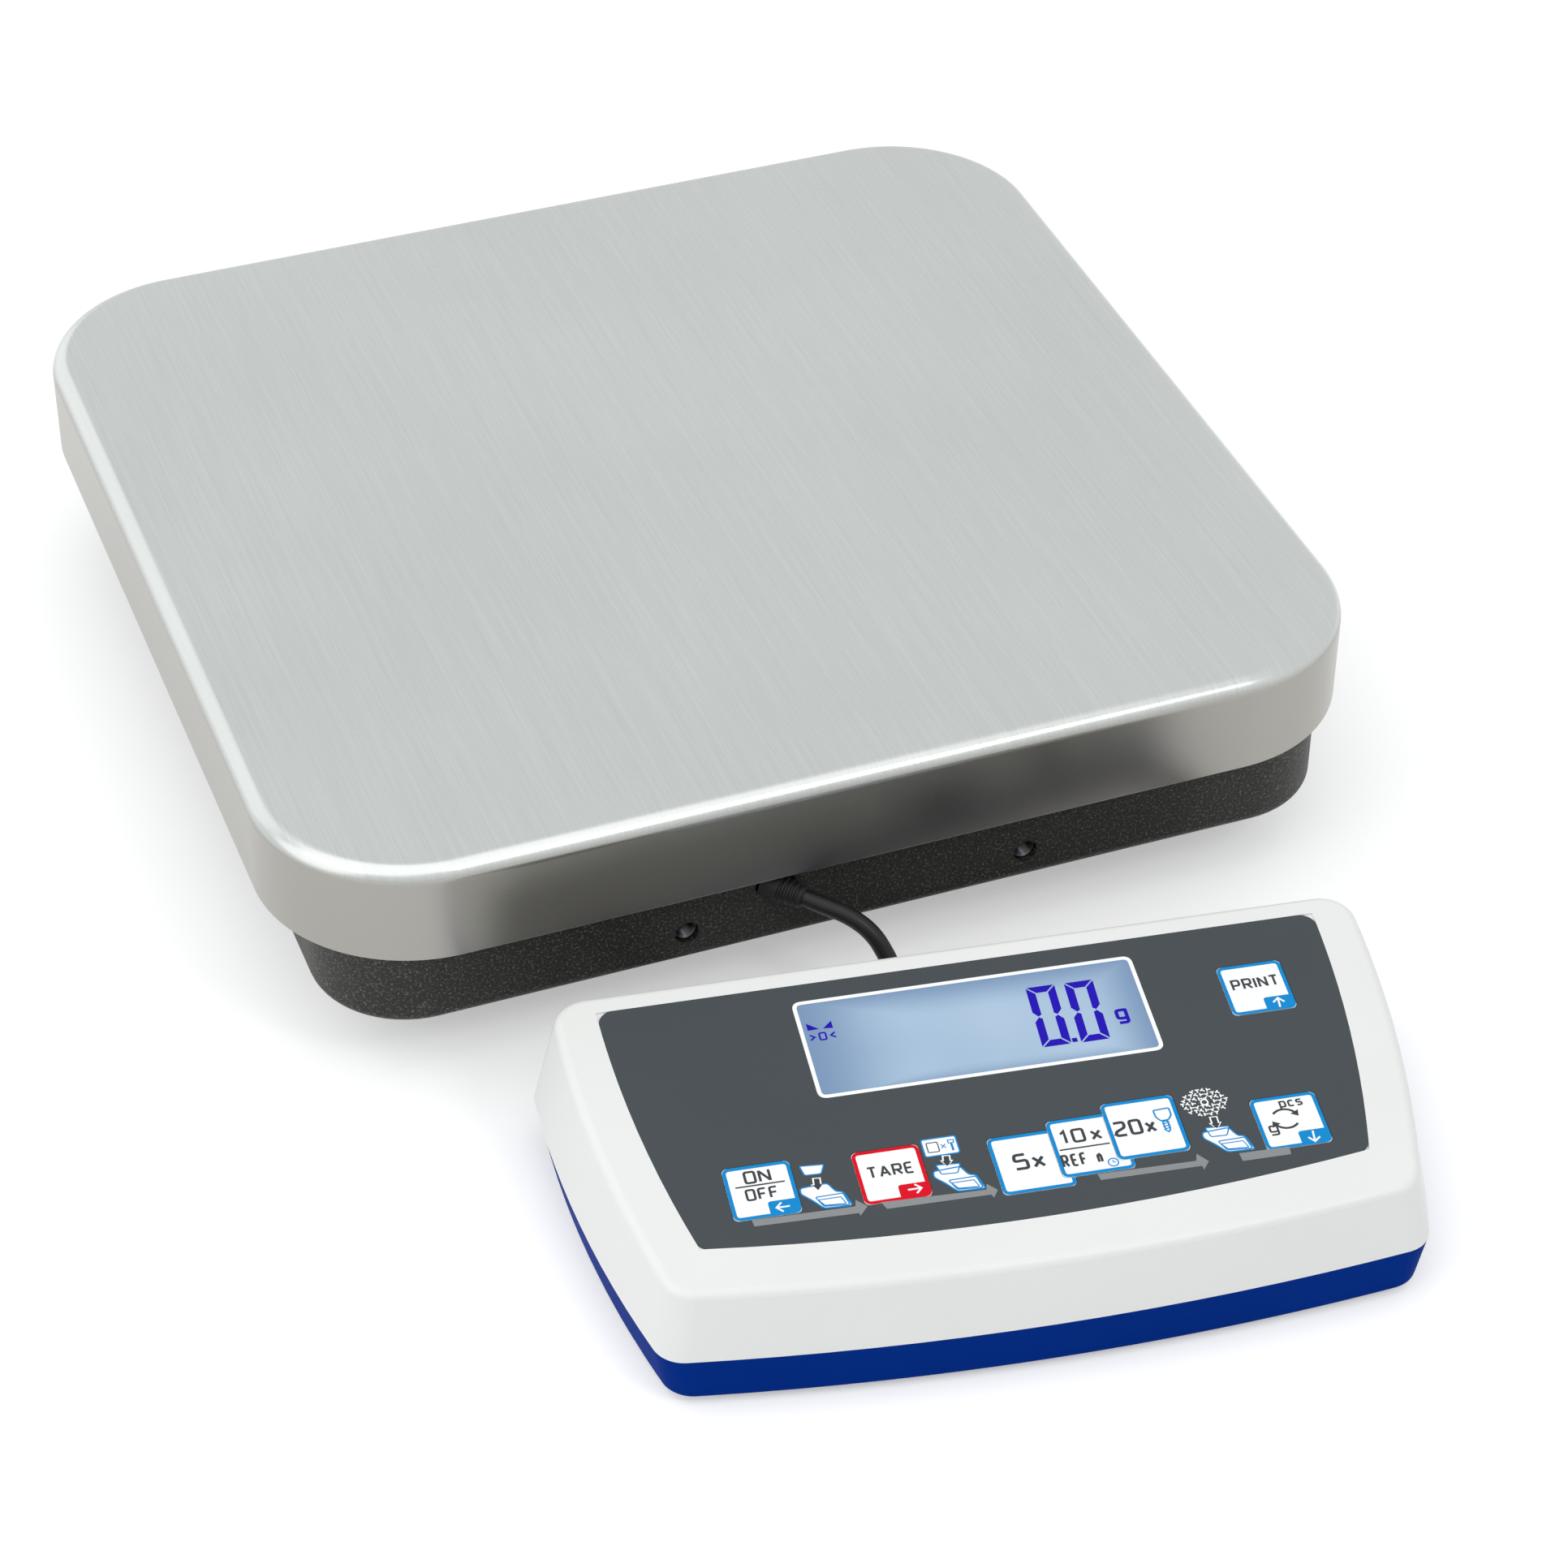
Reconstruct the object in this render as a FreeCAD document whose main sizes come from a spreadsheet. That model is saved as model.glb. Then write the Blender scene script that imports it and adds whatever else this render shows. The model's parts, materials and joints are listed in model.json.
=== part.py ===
import FreeCAD, Part
import math
import os

import Sketcher

# A platform counting scale with a display unit on a lead. Millimetres, +Z up, +X to the user's right and +Y
# away from the user. The base is drawn about the middle of its weighing plate, and every finished piece is
# then moved back by home_shift, which puts the origin on the table under the middle of the whole scale.

Vector = FreeCAD.Vector
Placement = FreeCAD.Placement
Rotation = FreeCAD.Rotation

sizes = [
    ("home_shift", 80.95),
    # weighing plate and base
    ("plate_width", 318), ("plate_depth", 308), ("plate_top", 75), ("plate_skirt", 30), ("plate_sheet", 1.2),
    ("plate_corner", 45), ("plate_edge", 5),
    ("base_width", 297), ("base_depth", 300), ("base_bottom", 20), ("base_top", 56), ("base_wall", 3.5),
    ("base_floor", 4), ("base_corner", 28), ("base_edge", 3.5),
    ("front_hole_spacing", 100), ("front_hole_height", 30), ("front_hole_radius", 3.5),
    ("insert_bore", 2.1), ("insert_recess", 1.4), ("insert_length", 10),
    # load path
    ("cell_length", 130), ("cell_width", 30), ("cell_height", 22), ("cell_bolt_inset", 10),
    ("cell_bolt_pitch", 20), ("cell_bolt_radius", 3), ("cell_hole_radius", 3.3), ("cell_eye_radius", 7.5),
    ("cell_eye_pitch", 30), ("cell_slot", 3), ("spacer_height", 6), ("spacer_length", 40),
    ("bolt_head_radius", 5), ("bolt_head_height", 5),
    ("carrier_height", 6), ("carrier_reach_x", 112), ("carrier_reach_y", 105), ("carrier_bar", 30),
    ("carrier_spine", 60), ("carrier_travel", 0.5), ("buffer_radius", 9),
    ("stop_boss_radius", 7), ("stop_boss_top", 44), ("stop_radius", 3), ("stop_head_radius", 5),
    ("stop_head_height", 5), ("stop_gap", 0.6), ("stop_reach_x", 112), ("stop_reach_y", 80),
    # levelling feet and level
    ("foot_reach_x", 115), ("foot_reach_y", 112), ("foot_sole_radius", 12), ("foot_sole_height", 9),
    ("foot_knob_radius", 13), ("foot_knob_height", 10), ("foot_stud_radius", 4), ("foot_stud_top", 42),
    ("foot_boss_radius", 8), ("foot_boss_top", 36), ("foot_play", 0.08), ("foot_gap", 0.4),
    ("level_x", 70), ("level_y", -118), ("level_radius", 10), ("level_height", 10), ("level_glass_radius", 7),
    ("level_glass_height", 6),
    # where the display unit stands, and its housing
    ("display_x", 4.5), ("display_y", -224.4), ("display_turn", -8.5), ("panel_slope", 5),
    ("panel_height", 42.5),
    ("display_back", 31), ("display_half_back", 114.5), ("display_front", 78), ("display_half_front", 99.5),
    ("display_side_radius", 350), ("display_front_radius", 725), ("display_corner", 9), ("display_wall", 2.5),
    ("display_crest", 2.5), ("display_bottom", 2.5), ("display_seam", 16.5), ("display_under_edge", 1.5),
    ("display_trim", 8), ("display_draft", 12), ("display_rear_spare", 8),
    # how far these walls lean inwards for each millimetre away from the seam
    ("lean_rear", 0.07), ("lean_under_side", 0.17), ("lean_under", 0.05),
    # keypad
    ("overlay_top", 22.6), ("overlay_half_top", 97.7), ("overlay_low", 61.2), ("overlay_half_low", 86.9),
    ("overlay_side_radius", 357), ("overlay_low_radius", 634), ("overlay_corner", 4.5),
    ("overlay_sheet", 0.5),
    ("key_small", 17.5), ("key_large", 19.2), ("key_corner", 1.5), ("key_gap", 0.2), ("key_height", 3),
    ("key_travel", 0.4), ("lcd_x", -0.9), ("lcd_y", -0.7), ("lcd_width", 91.2), ("lcd_height", 33.6),
    ("lcd_corner", 1.5), ("lcd_border", 3), ("glass_margin", 2), ("glass_thick", 2.8), ("backlight_thick", 3),
    ("keypad_board_half", 85), ("keypad_board_low", 59), ("keypad_board_top", 21), ("board_thick", 1.6),
    ("keypad_board_depth", 4), ("dome_radius", 5), ("dome_height", 0.5), ("small_screw", 1.25),
    ("small_head", 2.5), ("small_head_height", 1.8), ("small_post", 3),
    # inside the display unit
    ("board_left", -18), ("board_right", 92), ("board_front", -30), ("board_set_back", 7), ("board_rise", 1),
    ("housing_screw", 1.5), ("housing_head", 2.75), ("housing_head_height", 2.5), ("housing_boss", 4),
    ("battery_x", -62), ("battery_y", -5), ("battery_length", 48.5), ("battery_width", 26.5),
    ("battery_height", 17.5), ("battery_room", 4), ("cover_length", 60), ("cover_width", 33),
    ("cover_thick", 1.5), ("cover_travel", 5), ("cover_gap", 0.3),
    ("socket_x", 30), ("socket_width", 30.8), ("socket_height", 12.5), ("jack_x", 68), ("jack_width", 9),
    ("jack_height", 11), ("jack_bore", 2.75), ("jack_depth", 9), ("jack_pin", 1), ("socket_play", 0.3),
    ("socket_recess", 0.5), ("socket_depth", 15.5), ("socket_reach", 5), ("wall_cut", 12),
    ("display_foot_radius", 5), ("relief_x", -74), ("relief_height", 9.3), ("relief_radius", 4),
    # display lead
    ("cable_radius", 2.5), ("relief_tip", 3.2), ("relief_length", 11), ("relief_barrel", 6),
    ("exit_x", -24), ("exit_height", 39), ("exit_radius", 4.2), ("exit_length", 8), ("exit_barrel", 8),
    ("hank_fold", 15), ("hank_left", 6), ("hank_run", 88), ("hank_back", 49), ("hank_layers", 2),
    ("tie_width", 4), ("tie_thick", 0.4),
]

doc = FreeCAD.newDocument("CountingScale")
sheet = doc.addObject("Spreadsheet::Sheet", "Sizes")
for row, (alias, value) in enumerate(sizes, 1):
    sheet.set(f"A{row}", alias)
    sheet.set(f"B{row}", str(value))
    sheet.setAlias(f"B{row}", alias)
doc.recompute()


# A number that keeps the spreadsheet formula it came from, so that what it sets stays bound to the sheet
class Size(float):
    def __new__(cls, value, formula):
        size = float.__new__(cls, value)
        size.formula = formula
        return size

    def __add__(self, other):
        return Size(float(self) + float(other), f"({self.formula} + {formula(other)})")

    def __radd__(self, other):
        return Size(float(other) + float(self), f"({formula(other)} + {self.formula})")

    def __sub__(self, other):
        return Size(float(self) - float(other), f"({self.formula} - {formula(other)})")

    def __rsub__(self, other):
        return Size(float(other) - float(self), f"({formula(other)} - {self.formula})")

    def __mul__(self, other):
        return Size(float(self) * float(other), f"({self.formula} * {formula(other)})")

    def __rmul__(self, other):
        return Size(float(other) * float(self), f"({formula(other)} * {self.formula})")

    def __truediv__(self, other):
        return Size(float(self) / float(other), f"({self.formula} / {formula(other)})")

    def __neg__(self):
        return Size(-float(self), f"(0 - {self.formula})")


def formula(value):
    return value.formula if isinstance(value, Size) else repr(float(value))


class Sheet:
    def __getattr__(self, alias):
        return Size(float(getattr(sheet, alias)), "Sizes." + alias)


s = Sheet()
home = Placement(Vector(0, float(s.home_shift), 0), Rotation())
nodes = []


def bind(thing, name, value):
    if isinstance(value, Size):
        thing.setExpression(name, value.formula)


def as_node(thing, name, where=home):
    thing.Label = name
    thing.Placement = where.multiply(thing.Placement)
    nodes.append(thing)


def new_body(name):
    body = doc.addObject("PartDesign::Body", name)
    body.AllowCompound = True
    return body


def sketch(body, plane, level, tilt=0.0):
    drawing = body.newObject("Sketcher::SketchObject", body.Name + "_sketch")
    support = [face for face in body.Origin.OriginFeatures if face.Role == plane][0]
    drawing.AttachmentSupport = [(support, "")]
    drawing.MapMode = "FlatFace"
    drawing.AttachmentOffset = Placement(Vector(0, 0, level), Rotation(Vector(1, 0, 0), float(tilt)))
    bind(drawing, "AttachmentOffset.Base.z", level)
    bind(drawing, "AttachmentOffset.Rotation.Angle", tilt)
    return drawing


def fix(drawing, kind, *places_and_value):
    value = places_and_value[-1]
    number = drawing.addConstraint(Sketcher.Constraint(kind, *places_and_value[:-1], float(value)))
    bind(drawing, f"Constraints[{number}]", value)


def pin(drawing, element, point, x, y):
    fix(drawing, "DistanceX", -1, 1, element, point, x)
    fix(drawing, "DistanceY", -1, 1, element, point, y)


def circle(drawing, x, y, radius):
    ring = drawing.addGeometry(Part.Circle(Vector(x, y, 0), Vector(0, 0, 1), float(radius)))
    fix(drawing, "Radius", ring, radius)
    pin(drawing, ring, 3, x, y)


# corners run anticlockwise; radii[i] is the bulge radius of the side from corner i, or 0 if it is straight
def closed_outline(drawing, corners, radii):
    count = len(corners)
    sides = []
    for i in range(count):
        a, b = Vector(*corners[i], 0), Vector(*corners[(i + 1) % count], 0)
        if radii[i]:
            half = (b - a).Length / 2
            outward = (b - a).cross(Vector(0, 0, 1)).normalize()
            bulge = float(radii[i]) - math.sqrt(float(radii[i]) ** 2 - half ** 2)
            sides.append(drawing.addGeometry(Part.Arc(a, (a + b) / 2 + outward * bulge, b)))
        else:
            sides.append(drawing.addGeometry(Part.LineSegment(a, b)))
    for i in range(count):
        drawing.addConstraint(Sketcher.Constraint("Coincident", sides[i], 2, sides[(i + 1) % count], 1))
        pin(drawing, sides[i], 1, *corners[i])
        if radii[i]:
            fix(drawing, "Radius", sides[i], radii[i])


def rectangle(drawing, x, y, width, depth, corner=0):
    if not corner:
        left, right, front, back = x - width / 2, x + width / 2, y - depth / 2, y + depth / 2
        closed_outline(drawing, [(left, front), (right, front), (right, back), (left, back)], [0, 0, 0, 0])
        return
    across, along = width / 2 - corner, depth / 2 - corner
    centres = [(x + across, y + along), (x - across, y + along), (x - across, y - along),
               (x + across, y - along)]
    arcs = []
    for turn, (cx, cy) in enumerate(centres):
        ring = Part.Circle(Vector(cx, cy, 0), Vector(0, 0, 1), float(corner))
        arcs.append(drawing.addGeometry(Part.ArcOfCircle(ring, turn * math.pi / 2, (turn + 1) * math.pi / 2)))
    for turn in range(4):
        first, second = drawing.Geometry[arcs[turn]], drawing.Geometry[arcs[(turn + 1) % 4]]
        side = drawing.addGeometry(Part.LineSegment(first.EndPoint, second.StartPoint))
        drawing.addConstraint(Sketcher.Constraint("Tangent", arcs[turn], 2, side, 1))
        drawing.addConstraint(Sketcher.Constraint("Tangent", side, 2, arcs[(turn + 1) % 4], 1))
    for ring, (cx, cy) in zip(arcs, centres):
        pin(drawing, ring, 3, cx, cy)
    fix(drawing, "Radius", arcs[0], corner)
    for ring in arcs[1:]:
        drawing.addConstraint(Sketcher.Constraint("Equal", arcs[0], ring))


def extrude(body, kind, drawing, length, taper=0.0, turned=False):
    feature = body.newObject("PartDesign::" + kind, body.Name + "_" + kind.lower())
    feature.Profile = drawing
    feature.Length = float(length)
    bind(feature, "Length", length)
    feature.TaperAngle = float(taper)
    bind(feature, "TaperAngle", taper)
    feature.Reversed = turned
    return feature


def block(body, x, y, width, depth, low, high, corner=0):
    drawing = sketch(body, "XY_Plane", low)
    rectangle(drawing, x, y, width, depth, corner)
    return extrude(body, "Pad", drawing, high - low)


def slot(body, x, y, width, depth, low, high, corner=0):
    drawing = sketch(body, "XY_Plane", high)
    rectangle(drawing, x, y, width, depth, corner)
    return extrude(body, "Pocket", drawing, high - low)


def discs(body, places, radius, low, high):
    drawing = sketch(body, "XY_Plane", low)
    for x, y in places:
        circle(drawing, x, y, radius)
    return extrude(body, "Pad", drawing, high - low)


def holes(body, places, radius, low, high):
    drawing = sketch(body, "XY_Plane", high)
    for x, y in places:
        circle(drawing, x, y, radius)
    return extrude(body, "Pocket", drawing, high - low)


def mirrored(x, y):
    return [(-x, -y), (x, -y), (-x, y), (x, y)]


# the flat face that looks along direction and lies farthest that way
def face_name(body, direction):
    doc.recompute()
    found = []
    for number, face in enumerate(body.Tip.Shape.Faces, 1):
        middle = face.CenterOfMass
        normal = face.normalAt(*face.Surface.parameter(middle))
        if normal.getAngle(direction) < 0.02:
            found.append((middle.dot(direction), number))
    return f"Face{max(found)[1]}"


def upright_edges(body, height):
    doc.recompute()
    edges = enumerate(body.Tip.Shape.Edges, 1)
    return [f"Edge{number}" for number, edge in edges if edge.BoundBox.ZLength > height]


def fillet(body, names, radius):
    tip = body.Tip
    feature = body.newObject("PartDesign::Fillet", body.Name + "_fillet")
    feature.Base = (tip, names)
    feature.Radius = float(radius)
    bind(feature, "Radius", radius)


def round_face(body, direction, radius):
    fillet(body, [face_name(body, direction)], radius)


def round_uprights(body, height, radius):
    fillet(body, upright_edges(body, height), radius)


def joined(kind, name, base, tool):
    feature = doc.addObject("Part::" + kind, name)
    feature.Base = base
    feature.Tool = tool
    return feature


def cut(name, base, tool):
    return joined("Cut", name, base, tool)


up = Vector(0, 0, 1)
down = Vector(0, 0, -1)


# Weighing plate: a deep-drawn stainless tray turned upside down, which lifts off
def tray_form(name, inset, top, edge):
    body = new_body(name)
    block(body, 0, 0, s.plate_width - inset * 2, s.plate_depth - inset * 2, s.plate_top - s.plate_skirt, top,
          s.plate_corner - inset)
    round_face(body, up, edge)
    return body


outer_tray = tray_form("plate_outside", 0, s.plate_top, s.plate_edge)
inner_tray = tray_form("plate_inside", s.plate_sheet, s.plate_top - s.plate_sheet,
                       s.plate_edge - s.plate_sheet)
as_node(cut("plate", outer_tray, inner_tray), "weighing_plate")

# Load path: floor of the base, lower spacer, load cell, upper spacer, carrier, rubber buffers, plate
floor_top = s.base_bottom + s.base_floor
cell_low = floor_top + s.spacer_height
cell_high = cell_low + s.cell_height
carrier_low = cell_high + s.spacer_height
carrier_high = carrier_low + s.carrier_height
plate_under = s.plate_top - s.plate_sheet
fixed_end = -(s.cell_length / 2 - s.spacer_length / 2)
free_end = s.cell_length / 2 - s.spacer_length / 2


def bolt_places(end):
    return [(end - s.cell_bolt_pitch / 2, 0), (end + s.cell_bolt_pitch / 2, 0)]


cell = new_body("cell")
block(cell, 0, 0, s.cell_length, s.cell_width, cell_low, cell_high)
side_view = sketch(cell, "XZ_Plane", s.cell_width / 2)
for eye in (-s.cell_eye_pitch / 2, s.cell_eye_pitch / 2):
    circle(side_view, eye, (cell_low + cell_high) / 2, s.cell_eye_radius)
extrude(cell, "Pocket", side_view, s.cell_width)
side_view = sketch(cell, "XZ_Plane", s.cell_width / 2)
rectangle(side_view, 0, (cell_low + cell_high) / 2, s.cell_eye_pitch, s.cell_slot)
extrude(cell, "Pocket", side_view, s.cell_width)
holes(cell, bolt_places(fixed_end), s.cell_bolt_radius, cell_low, cell_high)
holes(cell, bolt_places(free_end), s.cell_hole_radius, cell_low, cell_high)
as_node(cell, "load_cell")

for name, end, low, high in (("load_cell_spacer_lower", fixed_end, floor_top, cell_low),
                             ("load_cell_spacer_upper", free_end, cell_high, carrier_low)):
    spacer = new_body(name + "_body")
    block(spacer, end, 0, s.spacer_length, s.cell_width, low, high)
    holes(spacer, bolt_places(end), s.cell_bolt_radius, low, high)
    as_node(spacer, name)

lower_bolts = new_body("lower_bolts")
discs(lower_bolts, bolt_places(fixed_end), s.cell_bolt_radius, s.base_bottom + 1, cell_high)
discs(lower_bolts, bolt_places(fixed_end), s.bolt_head_radius, cell_high, cell_high + s.bolt_head_height)
as_node(lower_bolts, "load_cell_bolts_lower")

upper_bolts = new_body("upper_bolts")
discs(upper_bolts, bolt_places(free_end), s.cell_bolt_radius, cell_low + s.cell_height / 4, carrier_high)
discs(upper_bolts, bolt_places(free_end), s.bolt_head_radius, carrier_high, carrier_high + s.bolt_head_height)
as_node(upper_bolts, "load_cell_bolts_upper")

carrier = new_body("carrier")
block(carrier, 0, 0, s.carrier_reach_x * 2, s.carrier_spine, carrier_low, carrier_high)
for side in (-1, 1):
    block(carrier, s.carrier_reach_x * side, 0, s.carrier_bar, s.carrier_reach_y * 2 + s.carrier_bar,
          carrier_low, carrier_high, s.carrier_bar / 4)
holes(carrier, bolt_places(free_end), s.cell_bolt_radius, carrier_low, carrier_high)
as_node(carrier, "load_carrier")

buffers = new_body("buffers")
discs(buffers, mirrored(s.carrier_reach_x, s.carrier_reach_y), s.buffer_radius, carrier_high, plate_under)
as_node(buffers, "plate_buffers")

stop_places = mirrored(s.stop_reach_x, s.stop_reach_y)
stop_top = carrier_low - s.stop_gap
stops = new_body("stops")
discs(stops, stop_places, s.stop_radius, floor_top + s.base_floor, stop_top - s.stop_head_height)
discs(stops, stop_places, s.stop_head_radius, stop_top - s.stop_head_height, stop_top)
as_node(stops, "overload_stops")



def rod(kind, name, start, direction, length, **radii):
    thing = doc.addObject("Part::" + kind, name)
    for field, value in dict(radii, Height=length).items():
        setattr(thing, field, float(value))
        bind(thing, field, value)
    thing.Placement = Placement(start, Rotation(up, direction))
    return thing


# Base housing: a cast shell, open at the top, with bosses for the feet, stops and level
foot_places = mirrored(s.foot_reach_x, s.foot_reach_y)
front_holes = (-s.front_hole_spacing / 2, s.front_hole_spacing / 2)
wall_front = s.base_depth / 2
insert_boss = s.insert_recess + s.insert_length + 1
lead_exit = Vector(s.exit_x, -wall_front, s.exit_height)
lead_direction = Vector(0.722, -0.662, -0.2).normalize()

base_form = new_body("base_form")
block(base_form, 0, 0, s.base_width, s.base_depth, s.base_bottom, s.base_top, s.base_corner)
round_face(base_form, down, s.base_edge)
holes(base_form, foot_places, s.foot_stud_radius + s.foot_play, s.base_bottom, s.foot_boss_top)
holes(base_form, stop_places, s.stop_radius, floor_top + s.base_floor, s.stop_boss_top)
holes(base_form, bolt_places(fixed_end), s.cell_bolt_radius, s.base_bottom + 1, floor_top)
front_view = sketch(base_form, "XZ_Plane", wall_front)
for x in front_holes:
    circle(front_view, x, s.front_hole_height, s.front_hole_radius)
extrude(base_form, "Pocket", front_view, insert_boss + 1)

base_cavity = new_body("base_cavity")
block(base_cavity, 0, 0, s.base_width - s.base_wall * 2, s.base_depth - s.base_wall * 2, floor_top,
      s.base_top, s.base_corner - s.base_wall)
holes(base_cavity, foot_places, s.foot_boss_radius, floor_top, s.foot_boss_top)
holes(base_cavity, stop_places, s.stop_boss_radius, floor_top, s.stop_boss_top)
for x in front_holes:
    slot(base_cavity, x, -(wall_front - insert_boss / 2), s.front_hole_radius * 4, insert_boss,
         floor_top, s.front_hole_height + s.front_hole_radius * 2)
base_shell = cut("base_shell", base_form, base_cavity)

lead_drill = rod("Cylinder", "lead_drill", lead_exit - lead_direction * 12, lead_direction, 24,
                 Radius=s.exit_radius)
as_node(cut("base", base_shell, lead_drill), "base_housing")

inserts = new_body("inserts")
front_view = sketch(inserts, "XZ_Plane", wall_front - s.insert_recess - s.insert_length)
for x in front_holes:
    circle(front_view, x, s.front_hole_height, s.front_hole_radius)
    circle(front_view, x, s.front_hole_height, s.insert_bore)
extrude(inserts, "Pad", front_view, s.insert_length)
as_node(inserts, "front_inserts")

level_cup = new_body("level_cup")
discs(level_cup, [(s.level_x, s.level_y)], s.level_radius, floor_top, floor_top + s.level_height)
holes(level_cup, [(s.level_x, s.level_y)], s.level_glass_radius,
      floor_top + s.level_height - s.level_glass_height, floor_top + s.level_height)
as_node(level_cup, "bubble_level_cup")
level_glass = new_body("level_glass")
discs(level_glass, [(s.level_x, s.level_y)], s.level_glass_radius,
      floor_top + s.level_height - s.level_glass_height, floor_top + s.level_height)
as_node(level_glass, "bubble_level_vial")

# Levelling feet: a rubber sole that stays still and a knurled screw that turns in it and in the base's boss
knob_high = s.base_bottom - s.foot_gap
for label, place in zip(("front_left", "front_right", "back_left", "back_right"), foot_places):
    sole = new_body("sole_" + label)
    discs(sole, [place], s.foot_sole_radius, 0, s.foot_sole_height)
    round_face(sole, down, s.foot_sole_height / 6)
    as_node(sole, "foot_sole_" + label)
    screw = new_body("screw_" + label)
    discs(screw, [place], s.foot_knob_radius, knob_high - s.foot_knob_height, knob_high)
    discs(screw, [place], s.foot_stud_radius, knob_high, s.foot_stud_top)
    as_node(screw, "foot_screw_" + label)

# Display unit: its own frame has the origin under the middle of the panel, x along its width, y to its back
stand = home.multiply(Placement(Vector(s.display_x, s.display_y, 0), Rotation(up, float(s.display_turn))))
lean = Placement(Vector(0, 0, s.panel_height), Rotation(Vector(1, 0, 0), float(s.panel_slope)))
panel = stand.multiply(lean)
panel_normal = Vector(0, -math.sin(math.radians(s.panel_slope)), math.cos(math.radians(s.panel_slope)))


def housing_outline(body, level, side, front, back):
    drawing = sketch(body, "XY_Plane", level)
    half_front, half_back = s.display_half_front - side, s.display_half_back - side
    front_line, back_line = -(s.display_front - front), s.display_back - back
    closed_outline(drawing, [(-half_front, front_line), (half_front, front_line), (half_back, back_line),
                             (-half_back, back_line)],
                   [s.display_front_radius - front, s.display_side_radius - side, 0,
                    s.display_side_radius - side])
    return drawing


# takes away all that is above a plane parallel to the panel and depth below it
def cut_above_panel(body, depth):
    drawing = sketch(body, "XY_Plane", s.panel_height - depth, s.panel_slope)
    rectangle(drawing, 0, 0, s.display_half_back * 3, s.display_half_back * 3)
    extrude(body, "Pocket", drawing, s.panel_height, turned=True)


def cut_rear(body, back_line, height):
    drawing = sketch(body, "YZ_Plane", s.display_half_back * 2)
    far, top = back_line + s.display_rear_spare * 2, s.display_seam + height
    closed_outline(drawing, [(back_line, s.display_seam), (far, s.display_seam), (far, top),
                             (back_line - height * s.lean_rear, top)], [0, 0, 0, 0])
    extrude(body, "Pocket", drawing, s.display_half_back * 4)


def upper_form(name, inset, depth):
    body = new_body(name)
    height = s.panel_height - s.display_seam + s.display_trim
    drawing = housing_outline(body, s.display_seam, inset, inset, inset - s.display_rear_spare)
    extrude(body, "Pad", drawing, height, -s.display_draft)
    cut_rear(body, s.display_back - inset, height)
    round_uprights(body, 10, s.display_corner - inset)
    cut_above_panel(body, depth)
    return body


# the lower shell's form is ruled between the outline at the seam and a smaller one below it
def lower_form(name, inset, floor):
    body = new_body(name)
    height = s.display_seam - s.display_bottom - floor
    low_inset = inset + height * s.lean_under
    form = body.newObject("PartDesign::AdditiveLoft", name + "_loft")
    form.Profile = housing_outline(body, s.display_seam, inset, inset, inset)
    form.Sections = [housing_outline(body, s.display_seam - height, inset + height * s.lean_under_side,
                                     low_inset, low_inset)]
    form.Ruled = True
    round_uprights(body, 5, s.display_corner - inset)
    return body


keys = [
    ("key_on_off", -67.9, -45.4, s.key_small), ("key_tare", -34.6, -46.3, s.key_small),
    ("key_reference_5", 1.2, -49.0, s.key_large), ("key_reference_10", 17.4, -46.2, s.key_large),
    ("key_reference_20", 32.7, -43.1, s.key_large), ("key_unit", 70.0, -48.1, s.key_small),
    ("key_print", 74.9, -1.2, s.key_small),
]
housing_screw_places = [(-99, -8), (99, -8), (-62, -71), (62, -71)]
board_back = s.display_back - s.board_set_back
board_level = s.display_seam + s.board_rise
board_screw_places = [(s.board_left + 5, s.board_front + 5), (s.board_right - 5, s.board_front + 5),
                      (s.board_left + 5, board_back - 9), (s.board_right - 5, board_back - 9)]
keypad_screw_places = [(-80, 16), (58, 16), (-80, -28), (80, -28)]
board_top = board_level + s.board_thick
socket_middle = board_top + s.socket_height / 2
jack_middle = board_top + s.jack_height / 2


# a pocket straight into the panel
def panel_pocket(body, depth, draw, *sizes_drawn):
    drawing = sketch(body, "XY_Plane", s.panel_height, s.panel_slope)
    draw(drawing, *sizes_drawn)
    extrude(body, "Pocket", drawing, depth)


def overlay_outline(drawing):
    corners = [(-s.overlay_half_low, -s.overlay_low), (s.overlay_half_low, -s.overlay_low),
               (s.overlay_half_top, s.overlay_top), (-s.overlay_half_top, s.overlay_top)]
    closed_outline(drawing, corners, [s.overlay_low_radius, s.overlay_side_radius, 0, s.overlay_side_radius])


upper = upper_form("upper_outside", 0, 0)
round_face(upper, panel_normal, s.display_crest)
panel_pocket(upper, s.overlay_sheet, overlay_outline)
panel_pocket(upper, s.display_wall * 2, rectangle, s.lcd_x, s.lcd_y, s.lcd_width - s.lcd_border,
             s.lcd_height - s.lcd_border, s.lcd_corner)
for name, x, y, width in keys:
    room = width + s.key_gap * 2
    panel_pocket(upper, s.display_wall * 2, rectangle, x, y, room, room, s.key_corner)
holes(upper, housing_screw_places, s.housing_screw, s.display_seam, s.display_seam + 9)

upper_cavity = upper_form("upper_inside", s.display_wall, s.display_wall)
holes(upper_cavity, housing_screw_places, s.housing_boss, s.display_seam, s.panel_height + s.display_trim)
as_node(cut("upper", upper, upper_cavity), "display_upper_shell", stand)

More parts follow.
